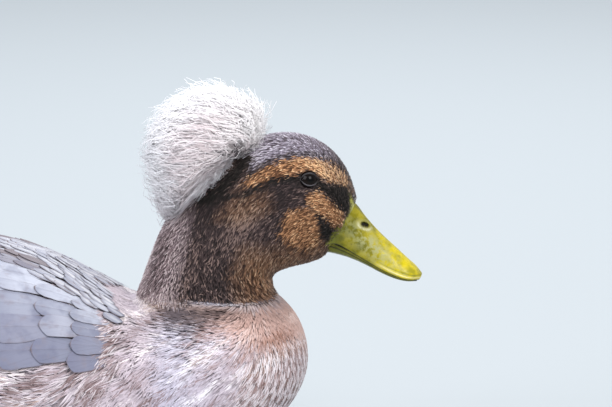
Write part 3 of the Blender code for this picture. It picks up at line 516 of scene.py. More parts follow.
def plumageMarks(places, u, jitter=None):
    # masks of the coat's colours at places on the body
    if jitter is not None:
        places = places + jitter
    x, z = places[..., 0], seenHeight(places)

    def within(key, soft=2.5):
        return outlineMask(x, z, markings[key], soft)

    # black also carries the painted shadow under the crest's lower edge
    black = np.maximum.reduce((
        within("lores"), within("gape"), within("eyeRound"), within("crestShadow"),
        lineMask(x, z, eyeLine, 1.3, 1.6), 0.7 * lineMask(x, z, browLine, 1.1, 2.0)))
    tan = np.maximum.reduce((within("brow"), within("underEye"), 0.92 * within("cheek")))
    forehead = ramp(x, 183, 6) * ramp(z, 188, 5)
    tan = tan * (1 - forehead * (0.35 + 0.35 * np.sin((x + 0.3 * z) * 2.6)))
    nape = ramp(x, np.interp(places[..., 2], (120, 150, 190), (96, 104, 112)), -14)
    onNeck, torso = u > 12.9, ramp(u, neckBase, -0.12)
    tan = np.maximum.reduce((tan, 0.42 * within("throat", 15), 0.5 * within("neckTan", 18) * onNeck,
                             0.26 * within("neckStreaks", 10), 0.2 * nape)) * (1 - black)
    lavender = np.maximum(within("crown") * (1 - 0.75 * ramp(x, 185, 9)), 0.85 * nape)
    lavender = np.where(onNeck, lavender, 0) * (1 - tan) * (1 - black)
    rust = np.maximum.reduce((within("breastRust", 20), 0.25 * ramp(x, 96, 30), 0.6 * within("breastFringe", 12)))
    rust = rust * torso
    shade = within("foldShade", 9) * torso
    line = 0.62 * onNeck * (u < 13.08) * ramp(x, 104, 10)  # painted highlight, a pale line of wet sheen where the neck folds on the breast
    top = within("breastTop", 14) * torso
    pale = np.maximum(torso * (1 - 0.92 * shade) * (1 - 0.42 * top), line)
    # the flank's brown bars are made stronger under the wing as painted shade
    fringe = np.maximum.reduce((within("breastFringe", 14), 0.55 * within("sideMottle", 12),
                                within("wingFringe", 10), 0.75 * within("flankBarsAndShade", 12)))
    back = ramp(places[..., 2], 120, 20) * torso * ramp(x, 34, -20)
    mottle = np.clip(0.8 * streakField(places, 34, 16, 8) + 0.6 * ripple(places, 34, 9) - 0.25, 0, 1)
    mottle = mottle * ramp(z, 118, -10)
    mottle = mottle * (1 - 0.8 * ramp(x, 128, 14) * ramp(z, 84, 10))
    fringe = np.maximum.reduce((fringe, 0.5 * back, 0.85 * mottle * torso))
    return {"marks": np.stack((tan, black, lavender), -1),
            "bodyMarks": np.stack((rust * (1 - line), pale, fringe * torso * pale), -1)}, within("bare")


coatTints = {  # the middling, the lightest and the darkest tone of each colour
    "dark": ((0.054, 0.035, 0.035), (0.22, 0.148, 0.13), (0.019, 0.013, 0.013)),
    "tan": ((0.50, 0.25, 0.12), (0.85, 0.54, 0.30), (0.12, 0.052, 0.024)),
    "lavender": ((0.30, 0.26, 0.32), (0.66, 0.61, 0.70), (0.11, 0.085, 0.10)),
    "black": ((0.009, 0.007, 0.006), (0.034, 0.026, 0.024), None),
    "pale": ((0.48, 0.455, 0.55), (0.82, 0.81, 0.88), (0.27, 0.20, 0.215)),
    "rust": ((0.54, 0.355, 0.31), (0.70, 0.53, 0.49), (0.36, 0.195, 0.15)),
    "brown": ((0.15, 0.10, 0.098), (0.30, 0.185, 0.15), None),
}
paleEdge = (0.80, 0.77, 0.82)  # of the breast's marked feathers
bareTones = ((0.30, 0.30, 0.03), (0.62, 0.60, 0.10))  # bare skin round the bill


def coatMaterial(name, sideLines=0.0, longLines=0.0, rootShade=0.66, skin=False):
    material, tree, shader = newMaterial(name, {
        "Roughness": 0.78, "Sheen Weight": 0.15, "Sheen Roughness": 0.5, "Specular IOR Level": 0.25})
    face = tree.attribute("marks")
    body = tree.attribute("bodyMarks")
    if skin:
        place = tree.position()
        chance = tree.noise(700, 2, place)
        streak = height = tree.group(speckle, Vector=place, Scale=900.0, Cover=0.5)["Cloud"]
        # painted shade: the skin is darkened under the coat, most where the pale mark is low
        paintedShade = tree.smooth(body[1], 0.2, 0.8, 0.62, 0.92)
        fringe = tree.product(body[2], 0.35)
    else:
        lie = tree.attribute("lie")
        along, chance = lie[1], lie[2]
        barbs = tree.barbsOn(lie, sideLines, longLines)
        streak, height = barbs["Streak"], barbs["Height"]
        # painted shade: each strand darker towards its root, where the feathers over it shade it
        paintedShade = tree.smooth(along, 0.0, 0.7, rootShade, 1.06)
        outer = tree.maths("ABSOLUTE", lie[0])
        centre = tree.product(tree.smooth(outer, 0.75, 0.25), tree.smooth(along, 0.35, 0.6),
                              tree.smooth(along, 1.04, 0.92))
        fringe = tree.product(body[2], centre, tree.smooth(chance, 0.3, 0.65, 0.4, 1))
    high, low = tree.smooth(chance, 0.62, 0.95), tree.smooth(chance, 0.4, 0.1)
    tint = {}
    for key, (middling, lightest, darkest) in coatTints.items():
        tint[key] = tree.blend(high, middling, lightest)
        if darkest:
            tint[key] = tree.blend(low, tint[key], darkest)
    pale = tree.blend(fringe, tree.blend(body[0], tint["pale"], tint["rust"]), tint["brown"])
    if not skin:  # pale edges beside the dark middles
        edge = tree.product(body[2], tree.smooth(outer, 0.6, 0.85, 0, 0.6))
        pale = tree.blend(edge, pale, paleEdge)
    colour = tree.blend(body[1], tint["dark"], pale)
    colour = tree.blend(face[2], colour, tint["lavender"])
    colour = tree.blend(face[0], colour, tint["tan"])
    colour = tree.blend(face[1], colour, tint["black"])
    colour = tree.shaded(colour, tree.product(paintedShade, tree.smooth(streak, 0.0, 1.0, 0.84, 1.08)))
    if skin:
        bare = tree.attribute("bare")[0]
        colour = tree.blend(bare, colour, tree.blend(tree.noise(260, 3, place), *bareTones))
        tree.feed(shader.inputs["Roughness"], tree.maths("SUBTRACT", 0.9, tree.product(bare, 0.5)))
    colourAndBump(tree, shader, colour, height, 0.45, 0.25)
    return material


print("materials of the coat")
coatSkin = coatMaterial("coatSkin", skin=True)
coatFine = coatMaterial("coatFine", 1.5, 0.0, 0.6)
coatSoft = coatMaterial("coatSoft", 5.0, 2.0, 0.92)


skinValues = {
    "stations": 190, "around": 128,
    "depthAt": (0, 10, 13, 16, 22, 23), "depth": (2.6, 2.2, 2.0, 1.5, 1.3, 1.3),  # under the coat's surface
    "bellyFade": 6.0,
}


def skinDepth(u, z):
    return np.interp(u, skinValues["depthAt"], skinValues["depth"]) * np.clip(z / skinValues["bellyFade"], 0, 1)


def buildSkin():
    u, v, quads, faces = bodyGrid(skinValues["stations"], skinValues["around"])
    place, normal, _, _ = bodyFrame(u, v)
    marks, bare = plumageMarks(place, u)
    depth = skinDepth(u, place[..., 2])
    inner = place - normal * depth[..., None]
    inner[..., 2] = np.maximum(inner[..., 2], 0)
    mesh = bpy.data.meshes.new("skin")
    mesh.from_pydata((inner.reshape(-1, 3) * mm).tolist(), [], faces)
    mesh.shade_smooth()
    for key, values in (*marks.items(), ("bare", np.repeat(bare[..., None], 3, -1))):
        setAttribute(mesh, key, values)
    wrap = np.stack((v / (2 * math.pi) + 0.5, knotAt(u) / bodyKnots[-1]), -1)
    corners = np.zeros(len(mesh.loops), np.int32)
    mesh.loops.foreach_get("vertex_index", corners)
    uv = wrap.reshape(-1, 2)[corners]
    # the last column of faces runs on past the map's edge
    seam = np.repeat((quads[:, 0] % u.shape[1]) == u.shape[1] - 1, 4)
    late = np.zeros(len(corners), bool)
    late[:len(seam)] = seam & (uv[:len(seam), 0] < 0.5)
    uv[late, 0] += 1
    mesh.uv_layers.new(name="OFBake").uv.foreach_set("vector", (0.005 + 0.99 * uv).astype(np.float32).ravel())
    addPiece("skin", mesh, coatSkin, ("torso", "neck", "head"))


buildSkin()
print("skin done")


fineRing = ((-1, 0), (0, 0.22), (1, 0))
eyePlace = np.array((175.9, 0, 199.2))
# zone by zone: rungs it covers, gaps between rows and between roots, length, half width, lift of the
# tip, heading up the side in degrees, and how far that varies
coatZones = {
    "coat_face": {"rungs": (22.95, 19.8), "gap": (1.0, 0.82), "length": (2.5, 0.8), "half": 0.32, "lift": 0.42,
                  "heading": -14, "vary": 12, "shape": (1, 0.95, 0.2), "seed": 11},
    "coat_head": {"rungs": (19.8, 16.2), "gap": (1.1, 0.88), "length": (3.1, 1.0), "half": 0.34, "lift": 0.5,
                  "heading": -18, "vary": 13, "shape": (1, 0.95, 0.2), "seed": 12},
    "coat_neck": {"rungs": (16.2, 13.28), "gap": (1.15, 0.95), "length": (3.6, 1.2), "half": 0.36, "lift": 0.75,
                  "heading": -10, "vary": 19, "shape": (1, 0.95, 0.2), "seed": 13},
    # the fold's fine strands carry the painted highlight along the neck's fold
    "coat_fold": {"rungs": (13.04, 12.92), "gap": (0.35, 1.1), "length": (2.6, 0.8), "half": 0.22, "lift": 0.7,
                  "heading": 86, "vary": 8, "shape": (0.3, 1, 0.2), "seed": 26, "ahead": 104},
    "coat_collar": {"rungs": (13.5, 12.9), "gap": (1.0, 0.9), "length": (6.5, 2.0), "half": 0.36, "lift": 0.9,
                    "heading": -4, "vary": 14, "shape": (1, 0.95, 0.2), "seed": 25, "behind": 98},
    "breast_upper": {"rungs": (12.9, 10.6), "gap": (3.0, 3.4), "length": (7.5, 1.2), "half": 0.40, "lift": 0.15,
                     "heading": 0, "vary": 4, "shape": (1, 0.9, 0.2), "seed": 16, "fan": 9, "spread": 10},
    "breast_lower": {"rungs": (10.6, 8.6), "gap": (4.0, 4.4), "length": (10.5, 1.5), "half": 0.44, "lift": 0.22,
                     "heading": 0, "vary": 5, "shape": (1, 0.9, 0.2), "seed": 17, "fan": 11, "spread": 11},
    "breast_side": {"rungs": (8.6, 6.4), "gap": (4.8, 5.2), "length": (13, 2), "half": 0.46, "lift": 0.22,
                    "heading": -4, "vary": 5, "shape": (1, 0.9, 0.2), "seed": 18, "fan": 11, "spread": 11},
    "flank_front": {"rungs": (6.4, 3.6), "gap": (6.9, 6.7), "length": (17, 2.5), "half": 0.52, "lift": 0.3,
                    "heading": -2, "vary": 5, "shape": (1, 0.9, 0.2), "seed": 19, "fan": 13, "spread": 12},
    "flank_rear": {"rungs": (3.6, 0.35), "gap": (8.4, 8.2), "length": (18, 2.5), "half": 0.58, "lift": 0.4,
                   "heading": 2, "vary": 5, "shape": (1, 0.9, 0.2), "seed": 20, "fan": 13, "spread": 13},
}
# lean of the feathers on the side of the breast, in degrees down towards the rear in side view, by height
flowValues = {"height": (66, 88, 104, 118), "lean": (48, 36, 10, -10), "from": (8, 50), "to": (126, 154)}
wingBed = {  # stations along x, and the folded wing's lower and upper border as angles up from the keel
    "x": (-158, -120, -70, -20, 24, 45, 56, 64), "low": (127, 113, 105.5, 102.5, 101.5, 101.5, 104, 110),
    "high": (157, 160, 160, 156, 148, 139, 133, 128),
}
axisX, axisZ = (-260, -198, -165, -120, -60, 90), (112, 102, 93, 86, 80, 80)
crestValues = {
    "centre": np.array((112.8, 0, 210)), "long": np.array((0.6, 0, 0.8)), "radii": np.array((46, 35, 33.5)),
    "pole": np.array((0.99, 0, 0.06)),
}


def keelAngle(places):
    # angle up from the keel round the guide's axis, in degrees
    axis = np.interp(places[:, 0], axisX, axisZ)
    return np.degrees(np.arctan2(np.abs(places[:, 1]), axis - places[:, 2]))


def underWing(places, margin):
    angle = keelAngle(places)
    low = np.interp(places[:, 0], wingBed["x"], wingBed["low"]) + margin
    high = np.interp(places[:, 0], wingBed["x"], wingBed["high"]) - margin
    high = np.where(places[:, 0] < 6, 181, high)  # vanes lie over the middle of the back too
    return (places[:, 0] > wingBed["x"][0]) & (places[:, 0] < wingBed["x"][-1] - 8) & (angle > low) & (angle < high)


crestOutline = np.array((  # side view, from the root spot round over the top and down to the tail on the nape
    (143.5, 214), (149.5, 226), (148.5, 236.5), (144.8, 242.5), (134.6, 247.6), (120, 250.6), (107.3, 249),
    (92.4, 240), (81.4, 226.4), (78, 209.8), (80.2, 192.8), (84.6, 179), (90, 168.6), (92.5, 165.4), (96.5, 171.5),
    (103, 179), (115, 189.4), (124.5, 199), (132.2, 208.4), (137.4, 212)))
outlineTurn = np.arctan2(crestOutline[:, 1] - crestValues["centre"][2], crestOutline[:, 0] - crestValues["centre"][0])
outlineReach = np.hypot(crestOutline[:, 0] - crestValues["centre"][0], crestOutline[:, 1] - crestValues["centre"][2])


def crestRadii(places):
    # each place's turn and reach in side view round the crest's middle, and the outline's reach there
    low = ramp(places[..., 2], 222, -25) * sideView * np.abs(places[..., 1])
    x, z = places[..., 0] - crestValues["centre"][0], places[..., 2] - low - crestValues["centre"][2]
    turn = np.arctan2(z, x)
    return turn, np.hypot(x, z), np.interp(turn, outlineTurn, outlineReach, period=2 * math.pi), low


def underCrest(places, share):
    _, reach, outline, _ = crestRadii(places)
    return (reach < share * outline) & (np.abs(places[:, 1]) < 30) & (places[:, 2] > 150)


def flowHeading(u, v, place):
    # heading that gives the flow's lean in side view, and how far it rules at each place
    back = unit(bodyPoint(u - smallStep, v) - bodyPoint(u + smallStep, v))
    up = unit(bodyPoint(u, v + smallStep) - bodyPoint(u, v - smallStep))
    up = up * np.where(place[:, 1] >= 0, 1, -1)[:, None]
    lean = np.radians(np.interp(seenHeight(place), flowValues["height"], flowValues["lean"]))
    wantX, wantZ = -np.cos(lean), -np.sin(lean)
    cross = back[:, 0] * up[:, 2] - back[:, 2] * up[:, 0]
    cross = np.where(np.abs(cross) < 0.15, 0.15 * np.where(cross < 0, -1, 1), cross)
    a = (wantX * up[:, 2] - wantZ * up[:, 0]) / cross
    b = (back[:, 0] * wantZ - back[:, 2] * wantX) / cross
    x = place[:, 0]
    fromX, fullX = flowValues["from"]
    fadeX, toX = flowValues["to"]
    share = ramp(x, fromX, fullX - fromX) * ramp(x, toX, fadeX - toX)
    share = share * ramp(np.abs(place[:, 1]), 14, 22) * ramp(place[:, 2], 20, 25)
    return np.clip(np.arctan2(b, a), -1.3, 1.3), share


scalyValues = {"long": 7.5, "wide": 7.0}  # size of the scaly marks at the front of the breast
coatLimits = {  # where the coat stops: under the wing, under the crest, on bare skin, at the floor, at the eye
    "wing": 7, "crest": 0.86, "bare": 0.3, "floor": 0.4, "eye": 4.9,
    "belly": 14, "bellyShare": 0.55,  # sparser below this height, where the bird lies on it
    "ragged": 9,
}


def buildZone(name, zone):
    draw = np.random.default_rng(zone["seed"])
    roots = bodyRoots(*zone["rungs"], zone["gap"], draw)
    u, v = roots.T
    place = bodyPoint(u, v)
    jitter = draw.normal(size=place.shape) * (1.0 if u.min() > 12 else 0.3)
    marks, bare = plumageMarks(place, u, jitter)
    limits = coatLimits
    kept = ~underWing(place, limits["wing"]) & ~underCrest(place, limits["crest"])
    kept &= (bare < limits["bare"]) & (place[:, 2] > limits["floor"])
    kept &= np.hypot(place[:, 0] - eyePlace[0], place[:, 2] - eyePlace[2]) > limits["eye"]
    kept &= (place[:, 2] > limits["belly"]) | (draw.random(len(u)) < limits["bellyShare"])
    ragged = limits["ragged"] * draw.random(len(u))
    kept &= (place[:, 0] < zone.get("behind", 1000) + ragged) & (place[:, 0] > zone.get("ahead", -1000) - ragged)
    u, v, place = u[kept], v[kept], place[kept]
    marks = {key: values[kept] for key, values in marks.items()}
    lengths = zone["length"][0] + zone["length"][1] * (draw.random(len(u)) - 0.5) * 2
    heading = np.radians(zone["heading"] + zone["vary"] * draw.normal(size=len(u)))
    torso = zone["rungs"][0] < neckBase
    if torso:
        flow, share = flowHeading(u, v, place)
        heading = heading + share * (flow - np.radians(zone["heading"]))
        chance = np.full(len(u), 0.55)
    else:
        chance = np.clip(0.5 + 0.24 * ripple(place, 26, 3) + 0.34 * draw.normal(size=len(u)), 0, 1)
    strands = zone.get("fan", 1)
    at = np.zeros(len(u))
    if strands > 1:  # a contour feather as a fan of fine strands
        at = np.tile(np.linspace(-1, 1, strands), len(u)) + 0.08 * draw.normal(size=strands * len(u))
        u, v, lengths, heading, chance = (np.repeat(values, strands) for values in (u, v, lengths, heading, chance))
        _, _, runU, runV = bodyFrame(u, v)
        runU, runV = np.maximum(runU, 4), np.maximum(runV, 4)
        v = v + np.where(np.sin(v) >= 0, 1, -1) * at * zone["gap"][1] * 0.75 / runV
        u = u + (draw.random(len(u)) - 0.5) * 1.3 * zone["gap"][0] / runU
        place = bodyPoint(u, v)
        marks, _ = plumageMarks(place, np.minimum(u, 12.88), draw.normal(size=place.shape) * 2.2)
        heading = heading + np.radians(zone["spread"]) * at
        lengths = lengths * (1 - 0.12 * at**2) * (0.6 + 0.55 * draw.random(len(u)))
        scaly = outlineMask(place[:, 0], seenHeight(place), markings["breastFringe"], 16) > draw.random(len(u))
        way = np.where(np.sin(v) >= 0, 1, -1)
        rows = (u - lengths * np.cos(heading) / runU) * np.median(runU) / scalyValues["long"]
        cells = (v + way * lengths * np.sin(heading) / runV) * np.median(runV) / scalyValues["wide"]
        cells = 2 * ((cells + 0.5 * (np.floor(rows) % 2)) % 1) - 1
        tip = ramp(rows % 1, 0.5, -0.35)  # the pale edge runs round the tip
        at = np.where(scaly, np.maximum(np.abs(cells), tip), at)
    if torso:  # the tint runs in streaks along the lie, from strand to strand and not from feather to feather
        streaks = 0.6 * streakField(place, 46, 7, 5) + 0.7 * streakField(place, 38, 17, 7)
        streaks = streaks + 0.45 * ripple(place, 26, 6)
        chance = np.clip(0.52 + 0.24 * streaks + 0.08 * draw.normal(size=len(u)), 0, 1)
        paleBack = ramp(place[:, 2], 116, 10) * ramp(place[:, 0], 30, 20)
        chance = np.maximum(chance, paleBack * (0.75 + 0.25 * draw.random(len(u))))
        chance = chance - 0.42 * outlineMask(place[:, 0], seenHeight(place), markings["wingFringe"], 12)
    count = len(u)
    shape = np.array(zone["shape"], float)
    stations = np.linspace(0, 1, len(shape))
    paths, normals = walkBody(u, v, heading, lengths, stations)
    sink = skinDepth(u, place[:, 2])[:, None] * (0.6 if torso else 0.9)
    lifts = (stations[None, :] - 1) * sink * (1 - stations[None, :]) + stations[None, :]**1.5 * zone["lift"] * (
        0.35 + 0.8 * draw.random(count)[:, None])
    widths = zone["half"] * shape[None, :] * (0.8 + 0.4 * draw.random(count)[:, None])
    rings, across = tuftRings(paths, normals, widths, lifts, fineRing)
    rings[..., 2] = np.maximum(rings[..., 2], 0.02)
    rootUv = fitUv(np.stack((v / (2 * math.pi), knotAt(u)), -1))
    lieAcross = across if strands == 1 else np.clip(at, -1, 1)[:, None, None] + 0.04 * across
    # the body's coat is shaded as the soft surface it makes together, the head's half as single feathers
    soft = 0.9 if torso else 0.5
    sides = unit(np.cross(unit(np.gradient(paths, axis=1)), normals))
    tilt = np.array(fineRing)[:, 0] * (1 - soft) * 0.6
    bent = unit(normals[:, :, None, :] + sides[:, :, None, :] * tilt[None, None, :, None]
                + (1 - soft) * 0.3 * draw.normal(size=(count, 1, 1, 3)))
    mesh = ringsMesh(name, rings, lieAcross, stations, rootUv, marks, chance, 0.003, bent=bent)
    addPiece(name, mesh, coatSoft if torso else coatFine)


for zoneName, zone in coatZones.items():
    buildZone(zoneName, zone)


def crestPoint(turn, around, share):
    pole = unit(crestValues["pole"])
    side = np.array((0, 1.0, 0))
    across = np.cross(pole, side)
    way = (pole * np.cos(turn)[..., None]
           + (side * np.cos(around)[..., None] + across * np.sin(around)[..., None]) * np.sin(turn)[..., None])
    long = crestValues["long"]
    third = np.cross(long, side)
    radii = crestValues["radii"]
    radius = 1 / np.sqrt((way @ long / radii[0])**2 + (way @ side / radii[1])**2 + (way @ third / radii[2])**2)
    return crestValues["centre"] + way * (radius * share)[..., None], way


# the rim tone is a painted highlight, the under tone painted shade, and the darkest tone a painted shadow at the root
crestTints = {
    "lock": ((0.75, 0.65, 0.67), (0.90, 0.835, 0.85)), "dull": (0.60, 0.52, 0.525), "rim": (0.99, 0.965, 0.985),
    "under": (0.58, 0.48, 0.51), "rootShadow": (0.05, 0.04, 0.045),
}


def crestMaterial():
    material, tree, shader = newMaterial("crestPlume", {
        "Roughness": 0.8, "Sheen Weight": 0.2, "Specular IOR Level": 0.25})
    lie = tree.attribute("lie")
    marks = tree.attribute("marks")
    barbs = tree.barbsOn(lie, 1.5, 0.0)
    colour = tree.blend(tree.smooth(lie[2], 0.3, 0.9), *crestTints["lock"])
    colour = tree.blend(tree.smooth(lie[2], 0.3, 0.1, 0, 0.8), colour, crestTints["dull"])
    # painted highlight on the rim, painted shade underneath, painted shadow at the root
    colour = tree.blend(tree.product(marks[0], 0.9), colour, crestTints["rim"])
    colour = tree.blend(marks[1], colour, crestTints["under"])
    colour = tree.blend(marks[2], colour, crestTints["rootShadow"])
    shade = tree.product(tree.smooth(lie[1], 0.0, 0.6, 0.95, 1.02), tree.smooth(barbs["Streak"], 0, 1, 0.95, 1.04))
    colourAndBump(tree, shader, tree.shaded(colour, shade), barbs["Height"], 0.3, 0.2)
    return material


crestPlume = crestMaterial()
crestLayers = {
    "crest_under": {"clumps": 2000, "strands": 1, "half": 2.4, "reach": (0.88, 0.02), "lie": 50, "root": 0.62,
                    "seed": 21, "bend": 0.8, "width": 0.6},
    "crest_locks": {"clumps": 760, "strands": 10, "half": 0.36, "reach": (0.94, 0.02), "lie": 54, "root": 0.68,
                    "seed": 22, "bend": 2.0, "width": 2.6},
    "crest_outer": {"clumps": 760, "strands": 10, "half": 0.32, "reach": (0.97, 0.03), "lie": 50, "root": 0.72,
                    "seed": 23, "bend": 2.2, "width": 2.6},
    "crest_fuzz": {"clumps": 4400, "strands": 1, "half": 0.20, "reach": (1.035, 0.055), "lie": 18, "root": 0.85,
                   "seed": 24, "bend": 4.2, "width": 1.0},
}
crestShape = np.array((0.8, 1.0, 0.95, 0.6, 0.1))


def crestWarp(places):
    # stretches the ball in side view to the crest's own outline, and narrows its tail on the nape
    centre, long, radii = crestValues["centre"], crestValues["long"], crestValues["radii"]
    turn, reach, outline, low = crestRadii(places)
    x, z = np.cos(turn), np.sin(turn)
    ball = 1 / np.sqrt(((x * long[0] + z * long[2]) / radii[0])**2 + ((x * long[2] - z * long[0]) / radii[2])**2)
    reach = reach * outline / ball
    height = centre[2] + reach * z + low
    narrow = 1 - 0.12 * ramp(height, 190, -22)
    return np.stack((centre[0] + reach * x, places[..., 1] * narrow, height), -1)


def buildCrest(name, layer):
    draw = np.random.default_rng(layer["seed"])
    clumps, strands = layer["clumps"], layer["strands"]
    turn = np.arccos(1 - (1 - math.cos(math.radians(176))) * (np.arange(clumps) + draw.random(clumps)) / clumps)
    turn = np.maximum(turn, math.radians(12))
    turn = turn + 0.35 * ramp(turn, 2.6, 0.4) * draw.random(clumps)  # tips cross over at the rear
    around = (np.arange(clumps) * 2.39996 + 0.5 * draw.random(clumps)) % (2 * math.pi)  # by the golden angle
    stations = np.linspace(0, 1, len(crestShape))
    lie = np.radians(layer["lie"]) * (0.7 + 0.6 * draw.random(clumps)) * np.clip(turn / 1.5, 0.25, 1)
    lie = np.minimum(lie, 0.85 * turn)
    reach = layer["reach"][0] + layer["reach"][1] * np.clip(draw.normal(size=clumps), -1.5, 1.3)
    wave = draw.normal(size=(clumps, 3)) * layer["bend"]
    curl = draw.normal(size=(clumps, 3)) * layer["bend"] * 0.35
    tint = np.clip(0.55 + 0.28 * draw.normal(size=clumps), 0, 1)
    turn, around, lie, reach, tint = (np.repeat(values, strands) for values in (turn, around, lie, reach, tint))
    wave, curl = np.repeat(wave, strands, axis=0), np.repeat(curl, strands, axis=0)
    count = len(turn)
    turns = turn[:, None] - lie[:, None] * (1 - stations[None, :])
    shares = layer["root"] + (reach[:, None] - layer["root"]) * np.sin(stations * math.pi / 2)[None, :]**0.9
    arounds = np.broadcast_to(around[:, None], turns.shape)
    paths, ways = crestPoint(turns, arounds, shares)
    # normals of the stretched ball, from places a small step along it and beside
    here, ahead, beside = (crestWarp(crestPoint(turns + a, arounds + b, shares)[0])
                           for a, b in ((0, 0), (0.03, 0), (0, 0.08)))
    normals = unit(np.cross(ahead - here, beside - here))
    normals = normals * np.where((normals * ways).sum(-1, keepdims=True) < 0, -1, 1)
    paths = paths + wave[:, None, :] * (stations**2 * 0.5)[None, :, None]
    paths = paths + curl[:, None, :] * np.sin(stations * 2 * math.pi)[None, :, None]
    # strands of a clump spread in the middle and draw together again at the tip
    spread = draw.normal(size=(count, 3)) * layer["width"] * 0.5
    outward = ways[:, 2]
    spread = spread - 0.85 * (spread * outward).sum(-1, keepdims=True) * outward  # mostly along the ball's surface
    own = draw.normal(size=(count, 3)) * layer["bend"] * 0.2
    paths = paths + spread[:, None, :] * (0.25 + np.sin(stations * 2.5) * 0.8)[None, :, None]
    paths = paths + own[:, None, :] * (stations**3)[None, :, None]
    paths = crestWarp(paths)
    shorter = 1 - 0.22 * draw.random(count)[:, None, None]
    paths = paths[:, :1] + (paths - paths[:, :1]) * shorter
    widths = layer["half"] * crestShape[None, :] * (0.7 + 0.6 * draw.random(count)[:, None])
    ring = ((-1, 0), (0, 0.2), (1, 0))
    rings, across = tuftRings(paths, normals, widths, np.zeros(widths.shape), ring)
    tips = paths[:, -1]
    keep = ~(insideBody(paths[:, 2], 0.3) & insideBody(tips, 0.3))
    # masks: painted highlight over the front of the top and at the border, painted shade underneath, painted shadow
    # at the root's front
    rim = ramp(tips[:, 0], 108, 30) * ramp(tips[:, 2], 205, 22)
    _, reachNow, outlineNow, _ = crestRadii(tips)
    border = ramp(reachNow / outlineNow, 0.66, 0.26)
    rim = np.maximum(rim, border * ramp(tips[:, 2], 172, 10))
    # painted shade on the crest's underside and along its lower border over the nape
    low = ramp(tips[:, 2], 203, -30) * 0.4
    root = paths[:, 1]
    under = paths[:, 3]
    height = seenHeight(under) - np.interp(under[:, 0], crestOutline[13:, 0], crestOutline[13:, 1])
    low = low * np.where(tint < 0.6, 1.5, 0.6)
    low = np.maximum(low, np.clip(1 - height / 14, 0, 1) * np.where(tint < 0.5, 0.8, 0.1))
    # painted shadow at the root's front, where the crest meets the head
    dark = ramp(np.hypot(root[:, 0] - 134, seenHeight(root) - 209), 6.0, -4)
    marks = np.stack((rim, low, dark), -1)[keep]
    rootUv = fitUv(np.stack((around / (2 * math.pi), turn), -1)[keep])
    chance = np.clip(tint + 0.10 * draw.normal(size=count), 0, 1)[keep]
    bent = unit(0.5 * ways + normals + 0.15 * draw.normal(size=(count, 1, 3)))[keep]
    mesh = ringsMesh(name, rings[keep], across, stations, rootUv, {"marks": marks}, chance, 0.003,
                     bent=bent[:, :, None])
    addPiece(name, mesh, crestPlume, ("crest",) if name == "crest_outer" else ())


hullU, hullV, _, hullFaces = bodyGrid(150, 96)  # a coarse body to measure against
bodyHull = BVHTree.FromPolygons(bodyPoint(hullU, hullV).reshape(-1, 3).tolist(), hullFaces)


def insideBody(places, margin):
    # true where a place lies deeper under the body's surface than the margin
    found = []
    for place in places:
        near, normal, _, _ = bodyHull.find_nearest(Vector(place))
        found.append((Vector(place) - near).dot(normal) < -margin)
    return np.array(found)


for layerName, layer in crestLayers.items():
    buildCrest(layerName, layer)


# the wing's guide: how far the body's side lies from its axis, at steps in millimetres along x and in degrees
guideStep = (4.0, 3.0)
rumpX = -165
guideX = np.arange(-264, 96, guideStep[0])
guideAngle = np.arange(84, 181, guideStep[1])


def guideRadii():
    table = np.zeros((len(guideX), len(guideAngle)))
    for j, degrees in enumerate(guideAngle):
        way = Vector((0, math.sin(math.radians(degrees)), -math.cos(math.radians(degrees))))
        for i, x in enumerate(guideX):
            start = Vector((x, 0, float(np.interp(x, axisX, axisZ))))
            hit = bodyHull.ray_cast(start, way)[0]
            table[i, j] = (hit - start).length if hit else 0
        # behind the rump the guide narrows slowly, for the wing's tips
        behind = guideX < rumpX
        least = np.maximum(np.interp(rumpX, guideX, table[:, j]) - 0.4 * (rumpX - guideX[behind]), 8.0)
        table[behind, j] = np.maximum(table[behind, j], least)
    return table


guideTable = guideRadii()


def wingPlace(x, degrees, height):
    # place over the body's side at x, an angle up from the keel and a height
    i = np.clip((x - guideX[0]) / guideStep[0], 0, len(guideX) - 1.001)
    j = np.clip((degrees - guideAngle[0]) / guideStep[1], 0, len(guideAngle) - 1.001)
    i0, j0 = i.astype(int), j.astype(int)
    fi, fj = i - i0, j - j0
    radius = ((guideTable[i0, j0] * (1 - fj) + guideTable[i0, j0 + 1] * fj) * (1 - fi)
              + (guideTable[i0 + 1, j0] * (1 - fj) + guideTable[i0 + 1, j0 + 1] * fj) * fi)
    reach = radius + height
    angle = np.radians(degrees)
    return np.stack((x, reach * np.sin(angle), np.interp(x, axisX, axisZ) - reach * np.cos(angle)), -1)


